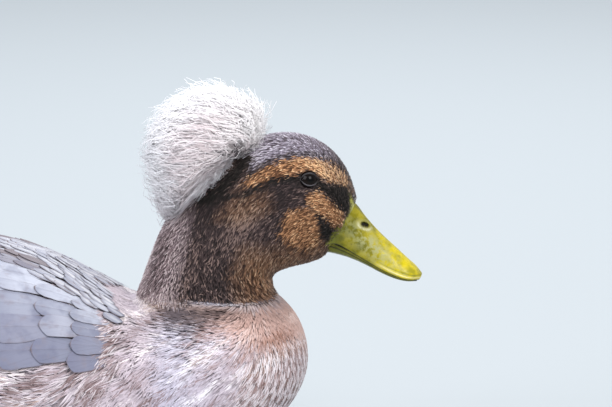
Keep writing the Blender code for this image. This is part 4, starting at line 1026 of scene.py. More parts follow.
def vaneMaterial(name, light, low, edge, cream, blot):
    material, tree, shader = newMaterial(name, {"Roughness": 0.62, "Sheen Weight": 0.12, "Specular IOR Level": 0.3})
    lie = tree.attribute("lie")
    marks = tree.attribute("marks")
    barbs = tree.barbsOn(lie, 7.0, 5.0)
    outer = tree.maths("ABSOLUTE", lie[0])
    cloud = tree.noise(90, 3, tree.position())
    blots = tree.noise(150, 4, tree.position(), 0.6)
    # the first mark: painted shade on the wing's lower rows, brown patches on the back, random tone on the tail and
    # scapulars
    colour = tree.blend(marks[0], light, low)
    colour = tree.blend(tree.smooth(lie[2], 0.2, 1.0, 0, 0.2), colour, (0.52, 0.51, 0.58))
    colour = tree.blend(tree.smooth(cloud, 0.45, 0.75, 0, 0.5), colour, low)
    colour = tree.blend(tree.product(marks[2], tree.smooth(outer, 0.1, 0.55, 1, 0)), colour, cream)
    colour = tree.blend(tree.smooth(lie[1], 0.5, 0.96, 0, 0.3), colour, low)
    colour = tree.blend(tree.smooth(blots, 0.5, 0.72, 0, 0.4), colour, blot)
    rim = tree.maths("MAXIMUM", tree.smooth(outer, 0.86, 1.0, 0, 0.6), tree.smooth(lie[1], 0.95, 0.99, 0, 0.9))
    broad = tree.product(tree.smooth(marks[2], 0.3, 0.6), tree.smooth(outer, 0.5, 0.85, 0, 0.75))
    ragged = tree.product(tree.maths("MAXIMUM", rim, broad), tree.smooth(cloud, 0.3, 0.6, 0.45, 1))
    whole = tree.smooth(marks[1], 1.2, 2.0, 0, 0.7)
    colour = tree.blend(tree.maths("MAXIMUM", tree.product(ragged, marks[1]), whole), colour, edge)
    colour = tree.blend(tree.product(barbs["Shaft"], 0.06), colour, edge)
    colour = tree.shaded(colour, tree.smooth(barbs["Streak"], 0, 1, 0.9, 1.06))
    colourAndBump(tree, shader, colour, barbs["Height"], 0.25, 0.12)
    return material


wingVane = vaneMaterial("wingVane", light=(0.41, 0.425, 0.50), low=(0.10, 0.105, 0.175), edge=(0.125, 0.078, 0.07),
                        cream=(0.56, 0.55, 0.57), blot=(0.20, 0.17, 0.20))
wingValues = {
    "tiers": 12, "firstX": 57, "tierStep": 17, "spacing": 15.5, "length": (34, 1.8), "width": (22, 0.3),
    "rootHeight": 0.9, "tipLift": 1.4, "roll": 0.28, "crown": 0.5, "seed": 31, "guideRadius": 85,
    "scapulars": 8, "scapularStep": 6.6, "scapularLength": 13, "scapularWidth": 8.6,
    # the first two tiers and all others: shift ahead, size, and how much lower they start
    "tierShift": (0, 3, 0), "tierSize": (0.68, 0.84, 1), "tierDrop": (5, 2, 0),
}
vaneAcross = np.array((-1, -0.86, -0.6, -0.3, -0.06, 0, 0.06, 0.3, 0.6, 0.86, 1))
vaneStations = np.array((0, 0.12, 0.26, 0.4, 0.54, 0.68, 0.8, 0.89, 0.95, 0.985, 1))


def vaneOutline(pointed):
    # half width along a vane as a share, round or pointed at the tip
    blunt = np.sqrt(np.clip(1 - ramp(vaneStations, 0.8, 0.2)**3, 0.004, 1))
    sharp = np.clip(1 - ramp(vaneStations, 0.35, 0.65)**2.2, 0.03, 1)
    body = np.interp(vaneStations, (0, 0.25, 0.6, 1), (0.55, 0.85, 1, 1))
    return body * (blunt * (1 - pointed) + sharp * pointed)


def wingRings(rows, draw):
    # rows: root x, root angle, slant, length, width, root height, tip height, pointedness
    x, angle, slant, length, width, rootHeight, tipHeight, pointed = np.array(rows, float).T
    outline = np.array([vaneOutline(p) for p in pointed])
    s = vaneStations[None, :, None]
    a = vaneAcross[None, None, :]
    half = (width[:, None] / 2 * outline)[:, :, None]
    back = length[:, None, None] * s - (a**2) * half * 0.35 * s**2
    notch = draw.random((len(x), len(vaneStations), len(vaneAcross))) * (np.abs(a) > 0.95) * (s > 0.25) * (s < 0.97)
    half = half * (1 - 0.10 * notch)
    slant = slant[:, None, None]
    toRadians = np.degrees(1 / wingValues["guideRadius"])
    xs = x[:, None, None] - back * np.cos(slant) + a * half * np.sin(slant)
    degrees = angle[:, None, None] + (back * np.sin(slant) + a * half * np.cos(slant)) * toRadians
    height = rootHeight[:, None, None] + (tipHeight - rootHeight)[:, None, None] * s
    bulge = wingValues["crown"] * np.minimum(width / 20, 1)[:, None, None]
    height = height - wingValues["roll"] * a + bulge * (1 - a**2 + 0.5 * (np.abs(a) < 0.03))
    return wingPlace(xs, degrees, height)


def wingRows(draw):
    rows, marks = [], []
    w = wingValues
    for tier in range(w["tiers"]):
        shift, small, drop = (w[key][min(tier, 2)] for key in ("tierShift", "tierSize", "tierDrop"))
        x = w["firstX"] - tier * w["tierStep"] + shift
        low = np.interp(x, wingBed["x"], wingBed["low"]) + 8.5 * small - drop
        high = np.interp(x, wingBed["x"], wingBed["high"]) + 3
        width = (w["width"][0] + w["width"][1] * tier) * small
        count = max(round((high - low) / np.degrees(w["spacing"] * small / w["guideRadius"])), 1)
        sunk = max(2.2 - 1.4 * tier, 0)  # the foremost roots lie under the breast's feathers
        for k in range(count + 1):
            share = (k + 0.5 * (tier % 2)) / count
            if share > 1.02:
                continue
            angle = low + (high - low) * share + draw.normal() * 0.5
            length = (w["length"][0] + w["length"][1] * tier) * (0.96 + 0.08 * draw.random()) * small
            lift = 0.45 * (k % 2)
            rows.append((x + draw.normal() * 1.2, angle, math.radians(-3 + 8 * share + draw.normal() * 1.5), length,
                         width * (1 - 0.15 * share), w["rootHeight"] - sunk + lift,
                         w["rootHeight"] + w["tipLift"] + lift, 0.05 + 0.2 * share))
            # darker towards the wing's lower border: painted shade below the lit upper rows
            marks.append((np.clip(1.0 - 1.15 * share + 0.12 * draw.normal(), 0, 1),
                          np.clip(0.8 + 0.25 * draw.normal(), 0.4, 1), 0))
    return rows, marks


def scapularRows(draw):
    # narrow pointed feathers in a band over the upper border of the wing and up over the shoulder
    rows, marks = [], []
    w = wingValues
    for band in range(w["scapulars"]):
        for k, x in enumerate(np.arange(64 - 1.5 * band, -150 if band < 3 else -2, -w["scapularStep"])):
            high, ahead = (float(np.interp(x + d, wingBed["x"], wingBed["high"])) for d in (0, -8))
            # along the wing's border; a degree of the guide is 1.48 mm wide there
            slant = math.atan2((ahead - high) * 1.48, 8) * 0.95 + math.radians(4)
            angle = high + 1 + 5.2 * band + 2.6 * (k % 2) + 0.9 * draw.normal()
            if angle > 179:
                continue
            length = (w["scapularLength"] + 0.07 * (60 - x)) * (0.85 + 0.3 * draw.random())
            rows.append((x + 1.5 * draw.normal(), angle, slant + math.radians(7 * draw.normal()), length,
                         w["scapularWidth"] * (0.8 + 0.4 * draw.random()), 1.4 + 0.3 * (k % 2) + 0.1 * band,
                         2.0 + 0.3 * (k % 2) + 0.1 * band, 0.3 + 0.4 * draw.random()))
            patch = abs(x - 11) < 11 and 154 < angle < 164  # brown patch over the top of the wing
            edge = 1.35 + 0.065 * (k * 37 % 11) if patch else 0.5 + 0.4 * ramp(x, -10, 40)
            marks.append((0.1 + 0.5 * draw.random(), edge, 0 if patch else 0.3 + 0.7 * draw.random()))
    return rows, marks


def backRows(draw):
    # broader feathers over the middle of the back, with a brown patch along the top of the wing
    rows, marks = [], []
    w = wingValues
    for x in np.arange(22, -150, -w["scapularStep"] * 1.5):
        high = float(np.interp(x, wingBed["x"], wingBed["high"]))
        for band, angle in enumerate((high + 9, high + 15, 169, 174, 178)):
            if angle < high + 8 or angle > 179:
                continue
            rows.append((x + 2 * draw.normal(), angle + 0.8 * draw.normal(), math.radians(3 + 3 * draw.normal()),
                         (w["scapularLength"] + 9) * (0.9 + 0.2 * draw.random()), w["scapularWidth"] * 1.4,
                         1.3 + 0.4 * (band % 2), 2.7 + 0.4 * (band % 2), 0.45))
            brown = 0.9 if band < 2 else 0.25
            edge = 1.25 + 0.15 * (len(rows) * 7 % 5) if band < 2 else 1.0
            marks.append((brown * (0.6 + 0.4 * draw.random()), edge, 1 - brown))
    return rows, marks


def quillRows(_):
    # evenly laid, so nothing is drawn
    rows, marks = [], []
    for k in range(7):  # tertials over the folded quills
        share = k / 6
        rows.append((-86 - 4 * k, 120 + 34 * share, math.radians(2), 74 - 6 * share, 21,
                     3.2 - 0.25 * k + 0.8 * (k % 2), 4.6 + 0.35 * k, 0.35))
        # lower tertials darker: painted shade
        marks.append((0.55 - 0.5 * share, 0.9, 0.2))
    for k in range(9):  # primaries
        share = k / 8
        rows.append((-124, 124 + 30 * share, math.radians(2.5), 92 * (0.76 + 0.24 * share), 13.5, 0.7 + 0.55 * k,
                     0.9 + 0.55 * k, 0.8))
        marks.append((0.35, 1.0, 0))
    return rows, marks


def buildWing(side, word):
    draw = np.random.default_rng(wingValues["seed"] + side)
    for part, maker in (("coverts", wingRows), ("quills", quillRows), ("back", backRows),
                        ("scapulars", scapularRows)):
        rows, marks = maker(draw)
        rings = wingRings(rows, draw)[:, :, ::-1]  # the guide runs up the side, so corners go the other way round
        rings = rings if side > 0 else mirrored(rings)
        rootUv, patch = cellUv(len(rows))
        mesh = ringsMesh(f"wing_{part}_{word}", rings, vaneAcross[::-side], vaneStations, rootUv,
                         {"marks": np.array(marks, float)}, draw.random(len(rows)), patch, 40)
        addPiece(f"wing_{part}_{word}", mesh, wingVane,
                 ("wing_" + word,) if part == "coverts" else ())


buildWing(1, "left")
buildWing(-1, "right")


tailValues = {
    "root": np.array((-196, 0, 99)), "rise": 9, "vanes": 16, "length": 66, "width": 16, "spread": 34, "seed": 41,
    "coverts": (  # rows over and under the fan: reach, height, count, spread, length
        (-12, 14.5, 9, 30, 34), (-2, 11.5, 9, 28, 34), (8, 8.0, 8, 24, 32),
        (-10, -15.5, 8, 26, 36), (2, -11.5, 8, 22, 36), (12, -7.5, 7, 18, 32)),
}
tailVane = vaneMaterial("tailVane", light=(0.66, 0.64, 0.70), low=(0.45, 0.42, 0.48), edge=(0.32, 0.25, 0.24),
                        cream=(0.86, 0.84, 0.84), blot=(0.50, 0.46, 0.50))


def fanRings(rows):
    # rows: root x, y, z, heading and pitch in degrees, length, width, droop, pointedness
    rows = np.array(rows, float)
    root, (heading, pitch, length, width, droop, pointed) = rows[:, :3], rows[:, 3:].T
    heading, pitch = np.radians(heading), np.radians(pitch)
    way = np.stack((-np.cos(heading) * np.cos(pitch), np.sin(heading) * np.cos(pitch), np.sin(pitch)), -1)
    up = np.stack((np.cos(heading) * np.sin(pitch), -np.sin(heading) * np.sin(pitch), np.cos(pitch)), -1)
    s = vaneStations[None, :, None]
    paths = root[:, None, :] + way[:, None, :] * length[:, None, None] * s
    paths = paths - up[:, None, :] * droop[:, None, None] * s**2
    normals = np.broadcast_to(up[:, None, :], paths.shape)
    outline = np.array([vaneOutline(p) for p in pointed]) * width[:, None] / 2
    ring = np.stack((vaneAcross, 0.5 * (1 - vaneAcross**2) + 0.25 * (np.abs(vaneAcross) < 0.03)), -1)
    jag = -(vaneAcross**2)[None, None, :] * outline[:, :, None] * 0.3 * s**2
    return tuftRings(paths, normals, outline, np.zeros(outline.shape), ring, jag)


def buildTail():
    t = tailValues
    draw = np.random.default_rng(t["seed"])
    rise = math.radians(t["rise"])
    back = np.array((-math.cos(rise), 0, math.sin(rise)))
    up = np.array((math.sin(rise), 0, math.cos(rise)))
    side = np.array((0, 1.0, 0))
    fan, coverts = [], []
    for k in range(t["vanes"]):
        across = 2 * k / (t["vanes"] - 1) - 1
        root = t["root"] + back * 6 + side * across * 9 + up * (4.2 - 7.0 * abs(across) + (0.35 if across > 0 else 0))
        length = t["length"] * (1.04 - 0.26 * abs(across))
        fan.append((*root, t["spread"] * across, t["rise"], length, t["width"], 2.5, 0.55))
    for row, (reach, height, count, spread, length) in enumerate(t["coverts"]):
        for k in range(count):
            across = 2 * (k + 0.25 * (row % 2)) / (count - 0.5) - 1
            over = 1 if height > 0 else -1
            root = t["root"] + back * reach + side * across * 17 + up * (height * (1 - 0.42 * across**2))
            heading = spread * across + 3 * draw.normal()
            coverts.append((*root, heading, t["rise"] - over * 13, length, 13, -over * 1.5, 0.4))
    for name, rows in (("tail_fan", fan), ("tail_coverts", coverts)):
        rings, across = fanRings(rows)
        rootUv, patch = cellUv(len(rows))
        low, edge, _ = draw.random((3, len(rows)))
        marks = np.stack((0.6 * low, 0.6 + 0.4 * edge, np.zeros(len(rows))), -1)
        mesh = ringsMesh(name, rings, across, vaneStations, rootUv, {"marks": marks}, draw.random(len(rows)), patch,
                         40)
        addPiece(name, mesh, tailVane, ("tail",) if name == "tail_fan" else ())


buildTail()


billValues = {
    "upper": np.array((  # lower edge x, z, ridge x, z, half width
        (184.6, 157.0, 198.2, 184.6, 16.4), (188.0, 158.2, 201.2, 182.0, 15.0), (191.5, 158.0, 204.2, 179.4, 13.6),
        (196, 155.9, 207.8, 174.6, 12.5), (203, 151.4, 213.4, 167.6, 11.6), (211, 146.4, 220.2, 160.4, 11.1),
        (220, 141.2, 228.5, 152.6, 11.5), (229, 137.4, 235.6, 145.8, 12.4), (236.5, 135.4, 240.8, 140.8, 11.2),
        (241.6, 134.6, 243.6, 137.2, 6.4))),
    "lower": np.array((
        (184.6, 150.8, 187.6, 158.4, 9.4), (187.4, 150.4, 190.6, 157.4, 10.0), (192.5, 149.4, 195.6, 155.2, 10.4),
        (201, 146.8, 202.8, 151.2, 10.3), (210.5, 142.6, 211.2, 145.9, 10.0), (219.6, 137.9, 220, 140.8, 10.3),
        (228.8, 134.4, 229, 136.9, 10.8), (236, 133.1, 236.4, 134.9, 8.8), (240.2, 132.8, 240.6, 134, 4.6))),
    "stations": 110, "around": 96, "nostril": (209.1, 168.2), "nostrilAxis": (2.8, 1.35), "nostrilDepth": 2.2,
    "pitch": 27, "lip": 0.5, "groove": 0.45,
}


billTints = {
    "olive": ((0.10, 0.098, 0.004), (0.225, 0.195, 0.004)), "gold": ((0.34, 0.29, 0.004), (0.64, 0.51, 0.006)),
    "scuff": (0.17, 0.165, 0.014), "edge": (0.13, 0.145, 0.02), "worn": (0.36, 0.36, 0.17),
    "spot": (0.09, 0.07, 0.02), "rim": (0.72, 0.71, 0.50), "gap": (0.012, 0.010, 0.006),
}


def billMaterial():
    material, tree, shader = newMaterial("billHorn", {
        "Coat Weight": 0.12, "Coat Roughness": 0.15, "Specular IOR Level": 0.2})
    place = tree.position()
    marks = tree.attribute("marks")
    forward = tree.attribute("forward")
    cloud = tree.group(speckle, Vector=place, Scale=120.0, Cover=0.35)
    fine = tree.group(speckle, Vector=place, Scale=430.0, Cover=0.10)
    scuffs = tree.noise(260, 5, place, 0.65)
    olive = tree.blend(tree.smooth(cloud["Cloud"], 0.4, 0.62), *billTints["olive"])
    gold = tree.blend(tree.smooth(cloud["Cloud"], 0.36, 0.62), *billTints["gold"])
    share = tree.maths("ADD", forward[0], tree.product(tree.maths("SUBTRACT", scuffs, 0.5), 0.9), clamp=True)
    colour = tree.blend(share, olive, gold)
    colour = tree.blend(tree.smooth(scuffs, 0.56, 0.72, 0, 0.55), colour, billTints["scuff"])
    colour = tree.blend(marks[0], colour, billTints["edge"])
    pale = tree.product(forward[1], tree.smooth(scuffs, 0.42, 0.56, 0.1, 1))
    colour = tree.blend(pale, colour, billTints["worn"])
    colour = tree.blend(tree.product(fine["Spots"], 0.6), colour, billTints["spot"])
    colour = tree.blend(marks[1], colour, billTints["rim"])
    # the darkest tone: painted shade in the nostril's hole and the slit between the mandibles, and the nail's own
    # dark colour
    colour = tree.blend(marks[2], colour, billTints["gap"])
    tree.feed(shader.inputs["Roughness"], tree.smooth(scuffs, 0.35, 0.7, 0.22, 0.45))
    dents = tree.maths("ADD", cloud["Cloud"], tree.product(tree.noise(520, 3, place), 0.45))
    colourAndBump(tree, shader, colour, dents, 0.5, 0.7)
    return material


billHorn = billMaterial()


def buildBill():
    b = billValues
    for name, rungs, upper in (("bill_top", b["upper"], True), ("bill_under", b["lower"], False)):
        knots = rungKnots(rungs)
        rows = splineThrough(knots, rungs, np.linspace(0, 1, b["stations"])**0.85 * knots[-1])
        # three quarters of the corners go over the dome, closest at its edges, and the rest across the flat
        overDome, overFlat = b["around"] * 3 // 4, b["around"] // 4
        dome, flat = np.arange(overDome) / overDome, np.arange(overFlat) / overFlat
        angle = np.concatenate((math.pi * (dome - 0.12 * np.sin(2 * math.pi * dome)), math.pi * (1 + flat)))
        onDome = angle <= math.pi
        rise = np.where(onDome, np.clip(np.sin(angle), 0, 1)**0.8, 0)
        share = rise if upper else 1 - rise
        x = rows[:, 0, None] * (1 - share) + rows[:, 2, None] * share
        z = rows[:, 1, None] * (1 - share) + rows[:, 3, None] * share
        height = rise * np.hypot(rows[:, 2] - rows[:, 0], rows[:, 3] - rows[:, 1])[:, None]
        front = ramp(x, 212, 14) if upper else np.zeros_like(x)
        lip = bell(height, 1.3, 0.9) * onDome * (0.35 + 0.65 * front)
        groove = bell(height, 3.0, 0.6) * onDome * front
        y = rows[:, 4, None] * np.cos(angle)
        y = y + np.sign(y) * (b["lip"] * lip - b["groove"] * groove)
        points = np.stack((x, y, z), -1)
        marks, forward = np.zeros_like(points), np.zeros_like(points)
        pitch = math.radians(b["pitch"])
        byX, byZ = x - b["nostril"][0], z - b["nostril"][1]
        away = np.hypot((byX * math.cos(pitch) - byZ * math.sin(pitch)) / b["nostrilAxis"][0],
                        (byX * math.sin(pitch) + byZ * math.cos(pitch)) / b["nostrilAxis"][1])
        side = np.abs(y) > 3
        if upper:
            pit = ramp(away, 1.15, -0.45)
            pit = pit * pit * (3 - 2 * pit)
            points[..., 1] += np.where(side, np.sign(y) * (bell(away, 1.5, 0.3) * 0.4 - pit * b["nostrilDepth"]), 0)
            below = np.clip(0.3 - (byX * math.sin(pitch) + byZ * math.cos(pitch)) / 2, 0, 1)
            # the nostril's hole painted black: painted shade in the pit
            marks[..., 2] = np.where(side, ramp(away, 1.0, -0.2), 0)
            marks[..., 1] = np.where(side, bell(away, 1.55, 0.35) * (0.12 + 0.6 * below), 0)
            marks[..., 1] += 0.4 * bell(height, 1.7, 0.5) * front
            marks[..., 0] = np.maximum(0.75 * ramp(height, 0.7, -0.5), 0.6 * bell(height, 3.1, 0.35) * front)
            marks[..., 0] = np.maximum(marks[..., 0], 0.55 * np.clip((199.5 - x + 0.45 * (z - 172)) / 5, 0, 1))
            # painted shade along the slit at the upper mandible's lower edge
            marks[..., 2] = np.maximum(marks[..., 2], ramp(height, 0.35, -0.2))
            forward[..., 0] = np.clip((x - 203) / 24 + 0.30 * (rise - 0.5), 0, 1)
            forward[..., 1] = 0.9 * bell(x + 0.6 * (z - 158), 212, 9) * bell(z - 0.5 * (210 - x), 158, 9)
        else:
            marks[..., 0] = 0.45 + 0.4 * ramp(share, 0.86, -0.2)
            # a dark line, and painted shade in the slit along the top edge
            marks[..., 2] = np.maximum(0.85 * bell(share, 0.72, 0.07), ramp(share, 0.985, 0.01))
            marks[..., 2] = np.maximum(marks[..., 2], ramp(x, 238.5, 1.5))
            marks[..., 2] = np.maximum(marks[..., 2], 0.55 * ramp(share, 0.3, -0.3))
            forward[..., 0] = 0.3
        order = slice(None) if upper else slice(None, None, -1)
        mesh = singleMesh(name, points[:, order], np.cos(angle), np.linspace(0, 1, b["stations"]), 0.98, sharp=50)
        setAttribute(mesh, "marks", marks[:, order])
        setAttribute(mesh, "forward", forward[:, order])
        mesh.flip_normals()
        setUv(mesh, np.stack(np.meshgrid(np.linspace(0.01, 0.99, b["stations"]), np.linspace(0.01, 0.99, b["around"]),
                                         indexing="ij"), -1))
        addPiece(name, mesh, billHorn, ("bill_upper",) if upper else ("bill_lower",))


buildBill()


eyeValues = {
    "radius": 5.6, "depth": 3.3, "bulge": 0.035, "ballGrid": (28, 40),
    "lid": (4.7, 3.8), "lidThick": 0.28, "lidGrid": (56, 12),
    "pupil": (0.002, 0.002, 0.002), "iris": ((0.0035, 0.002, 0.0015), (0.008, 0.0045, 0.003)),
    "rim": (0.006, 0.004, 0.004), "lidSkin": ((0.045, 0.038, 0.045), (0.010, 0.008, 0.009)),
    "lidSpot": (0.03, 0.025, 0.028),
}


def eyeMaterial():
    material, tree, shader = newMaterial("eyeWet", {"Roughness": 0.04, "IOR": 1.5, "Specular IOR Level": 0.13})
    lie = tree.attribute("lie")
    iris = tree.blend(tree.noise(900, 2, tree.position()), *eyeValues["iris"])
    colour = tree.blend(tree.smooth(lie[1], 0.34, 0.46), eyeValues["pupil"], iris)
    colour = tree.blend(tree.smooth(lie[1], 0.72, 0.86), colour, eyeValues["rim"])
    tree.feed(shader.inputs["Base Color"], colour)
    return material


def lidMaterial():
    material, tree, shader = newMaterial("lidSkin", {"Roughness": 0.5})
    lie = tree.attribute("lie")
    cloud = tree.group(speckle, Vector=tree.position(), Scale=1500.0, Cover=0.4)
    colour = tree.blend(tree.smooth(lie[1], -0.85, -0.35), *eyeValues["lidSkin"])
    colour = tree.blend(tree.product(cloud["Spots"], 0.4), colour, eyeValues["lidSpot"])
    colourAndBump(tree, shader, colour, cloud["Cloud"], 0.5, 0.15)
    return material


eyeWet, lidSkin = eyeMaterial(), lidMaterial()


def buildEye(side, word):
    e = eyeValues
    start = Vector((eyePlace[0], side * 200, eyePlace[2]))
    surface, normal, _, _ = bodyHull.ray_cast(start, Vector((0, -side, 0)))
    surface, normal = np.array(surface), np.array(normal)
    centre = surface - normal * e["depth"]
    ahead = unit(np.cross(np.cross(normal, (1, 0, 0)), normal))
    ahead = ahead if ahead[0] > 0 else -ahead
    up = np.cross(normal, ahead)
    up = up if up[2] > 0 else -up
    rows, columns = e["ballGrid"]
    polar = np.linspace(0.02, math.pi - 0.02, rows)
    turn = np.linspace(0, 2 * math.pi, columns, endpoint=False)
    bulge = e["radius"] * (1 + e["bulge"] * bell(polar, 0, 0.55))
    sideways = ahead * np.cos(turn)[None, :, None] + up * np.sin(turn)[None, :, None]
    ringsEye = centre + normal * (bulge * np.cos(polar))[:, None, None] + (
        sideways * (bulge * np.sin(polar))[:, None, None])
    flip = np.dot(np.cross(ahead, up), normal) > 0
    if flip:
        ringsEye = ringsEye[:, ::-1]
    ringsEye = ringsEye[::-1]
    along = (np.sin(polar) / math.sin(1.15))[::-1].clip(0, 1.2)
    mesh = singleMesh("eyeball_" + word, ringsEye, np.cos(turn), along, 0.9)
    addPiece("eyeball_" + word, mesh, eyeWet, ("eye_" + word,))
    count, sides = e["lidGrid"]
    around = np.linspace(0, 2 * math.pi, count + 1)
    droop = np.where(np.sin(around) > 0, 0.9, 1.0)
    outX, outZ = e["lid"][0] * np.cos(around), e["lid"][1] * np.sin(around) * droop
    corner = bell(np.abs(np.cos(around)), 1, 0.05)
    rim = np.stack((outX * (1 + 0.12 * corner), outZ), -1)
    flat = rim[:, :1] * ahead + rim[:, 1:] * up
    # the lid lies on the eyeball inside and on the cheek outside
    inner = np.linalg.norm(flat, axis=1)
    rise = np.sqrt(np.maximum(e["radius"]**2 - inner**2, 0))
    path = centre + flat + normal * (rise + 0.15)[:, None]
    outwards = unit(flat)
    tube = np.linspace(0, 2 * math.pi, sides, endpoint=False)
    thick = e["lidThick"] * (1 + 0.5 * np.clip(np.sin(around), 0, 1))
    rings = path[:, None, :] + (outwards[:, None, :] * np.cos(tube)[None, :, None] * 1.5
                                + normal[None, None, :] * np.sin(tube)[None, :, None]) * thick[:, None, None]
    mesh = singleMesh("lid_" + word, rings if flip else rings[:, ::-1], np.cos(tube), np.sin(around), 0.4)
    addPiece("lid_" + word, mesh, lidSkin)


buildEye(1, "left")
buildEye(-1, "right")


footTints = {
    "skin": ((0.50, 0.24, 0.035), (0.70, 0.38, 0.06)), "spot": (0.16, 0.10, 0.05), "groove": (0.20, 0.09, 0.02),
    "claw": ((0.05, 0.032, 0.022), (0.16, 0.11, 0.07)), "clawStreak": (0.30, 0.22, 0.13),
}


def footMaterial():
    material, tree, shader = newMaterial("footSkin", {"Roughness": 0.5})
    place = tree.position()
    scale = tree.node("ShaderNodeTexVoronoi", feature="DISTANCE_TO_EDGE")
    tree.feed(scale.inputs["Vector"], place)
    scale.inputs["Scale"].default_value = 620
    groove = tree.smooth(scale.outputs[0], 0.0, 0.12)
    cloud = tree.group(speckle, Vector=place, Scale=140.0, Cover=0.4)
    colour = tree.blend(tree.smooth(cloud["Cloud"], 0.35, 0.65), *footTints["skin"])
    colour = tree.blend(tree.product(cloud["Spots"], 0.35), colour, footTints["spot"])
    colour = tree.blend(groove, footTints["groove"], colour)
    colourAndBump(tree, shader, colour, groove, 0.6, 0.3)
    return material


def clawMaterial():
    material, tree, shader = newMaterial("clawHorn", {"Roughness": 0.35})
    lie = tree.attribute("lie")
    streaks = tree.noise(420, 4, tree.position())
    colour = tree.blend(tree.smooth(lie[1], 0.2, 1.0), *footTints["claw"])
    colour = tree.blend(tree.smooth(streaks, 0.5, 0.7, 0, 0.5), colour, footTints["clawStreak"])
    colourAndBump(tree, shader, colour, streaks, 0.3, 0.1)
    return material


footSkin, clawHorn = footMaterial(), clawMaterial()
footValues = {
    "hock": np.array((-78, 56, 6.6)), "root": np.array((-30, 59, 4.4)), "thighTop": np.array((-46, 50, 36)),
    "thighRadius": 11.4, "thighStretch": 0.57, "thighMiddle": 0.46, "headings": (0, 20, 42), "lengths": (46, 57, 50),
    "shank": (6.4, 5.6, 4.6, 4.3), "scutes": 2.3, "toe": (3.7, 2.8, 2.4, 1.5), "claw": 9.0, "webReach": 0.86,
    "webHollow": 0.74, "webThick": 0.9, "tufts": 640, "seed": 51,
}


def tubeRings(path, radii, around=20):
    ways = unit(np.gradient(path, axis=0))
    sides = unit(np.cross(ways, (0, 0, 1.0)))
    ups = np.cross(sides, ways)
    turn = np.linspace(0, 2 * math.pi, around, endpoint=False)
    ring = sides[:, None] * np.cos(turn)[None, :, None] - ups[:, None] * np.sin(turn)[None, :, None]
    rings = path[:, None] + ring * (radii[:, None] * np.ones(around))[..., None]
    rings[..., 2] = np.maximum(rings[..., 2], 0.02)
    return rings, np.sin(turn)


def scaledTube(path, radii, length, joints=()):
    # plates across the upper side and knobs at the joints
    share = np.linspace(0, 1, len(path))
    for joint in joints:
        radii = radii * (1 + 0.12 * bell(share, joint, 0.045))
    rings, down = tubeRings(path, radii)
    plates = 0.22 * np.abs(np.sin(share * length * math.pi / footValues["scutes"]))**0.6
    lift = plates[:, None] * np.clip(0.25 - down, 0, 1)[None, :]
    return rings + unit(rings - path[:, None]) * lift[..., None]


def footParts():
    # rings of the shank, hind toe, toes and webs, and of the claws
    f = footValues
    root, hock = f["root"], f["hock"]
    forward = unit(root - hock)
    share = np.linspace(0, 1, 64)[:, None]
    radii = np.interp(share[:, 0], (0, 0.12, 0.5, 1), f["shank"]) * np.sqrt(np.clip(share[:, 0] / 0.09 + 0.03, 0, 1))
    shank = scaledTube(hock - forward * 5 + (root + forward * 2 - hock + forward * 5) * share, radii, 55)
    toes, claws, webs = [], [], []
    ways = [np.array((math.cos(a), math.sin(a), 0)) for a in np.radians(f["headings"])]
    for way, length, joints in zip(ways, f["lengths"], ((0.5,), (0.36, 0.68), (0.3, 0.52, 0.74))):
        path = root + way * (length * 0.9 * share - 3 * (1 - share))
        path[:, 2] = np.interp(share[:, 0], (0, 0.5, 0.86, 1), (4.4, 2.8, 2.1, 1.7))
        toes.append(scaledTube(path, np.interp(share[:, 0], (0, 0.5, 0.86, 1), f["toe"]), length, joints))
        claw = root + way * (length * 0.9 - 2.2 + f["claw"] * share)
        claw[:, 2] = 1.9 + 1.1 * np.sin(math.pi * share[:, 0] * 0.9) - 1.3 * share[:, 0]**2
        claws.append(tubeRings(claw, 1.55 * (1 - 0.9 * share[:, 0]**1.6))[0])
    hindWay = ((0, 5, 10), (0, 5, 8), (0, 1.4, 2.4))
    hind = root - forward * 4 - np.stack([np.interp(share[:, 0], (0, 0.5, 1), way) for way in hindWay], -1)
    hindToe = scaledTube(hind, np.interp(share[:, 0], (0, 0.8, 1), (2.4, 1.8, 1.0)), 12)
    t = np.linspace(0, 1, 17)
    along = np.linspace(0.02, 1, 64)[:, None]
    for k in range(2):
        middle = 4 * t * (1 - t)
        angle = np.radians(np.interp(t, (0, 1), f["headings"][k:k + 2]))
        reach = np.interp(t, (0, 1), f["lengths"][k:k + 2]) * (
            f["webReach"] - (f["webReach"] - f["webHollow"]) * middle + 0.01 * np.sin(t * 25))
        height = np.interp(along[:, 0], (0, 0.5, 1), (4.0, 2.6, 1.9))[:, None] * (1 - 0.4 * middle) + (
            0.22 * np.sin(t * 19 + 2)[None, :] * along)
        x, y = root[0] + along * reach * np.cos(angle), root[1] + along * reach * np.sin(angle)
        high = np.stack((x, y, height), -1)
        low = high - np.array((0, 0, f["webThick"]))
        low[..., 2] = np.maximum(low[..., 2], 0.02)
        webs.append(np.concatenate((high, low[:, ::-1]), 1)[:, ::-1])
    return (shank[None],), (np.stack((*toes, hindToe)), np.stack(webs)), (np.stack(claws),)


def thighPoint(share, turn, inset):
    # share runs over the drumstick from the hock's end
    f = footValues
    axis = f["thighTop"] - f["hock"]
    half = np.linalg.norm(axis) * f["thighStretch"] - inset
    axis = unit(axis)
    side = unit(np.cross(axis, (0, 1.0, 0)))
    front = np.cross(axis, side)
    ring = side * np.cos(turn)[..., None] + front * np.sin(turn)[..., None]
    centre = f["hock"] + (f["thighTop"] - f["hock"]) * f["thighMiddle"]
    a = share * math.pi
    place = centre - axis * (half * np.cos(a))[..., None] + ring * ((f["thighRadius"] - inset) * np.sin(a))[..., None]
    place[..., 2] = np.maximum(place[..., 2], 0.1)
    return place, unit(ring * np.sin(a)[..., None] - 0.6 * axis * np.cos(a)[..., None])


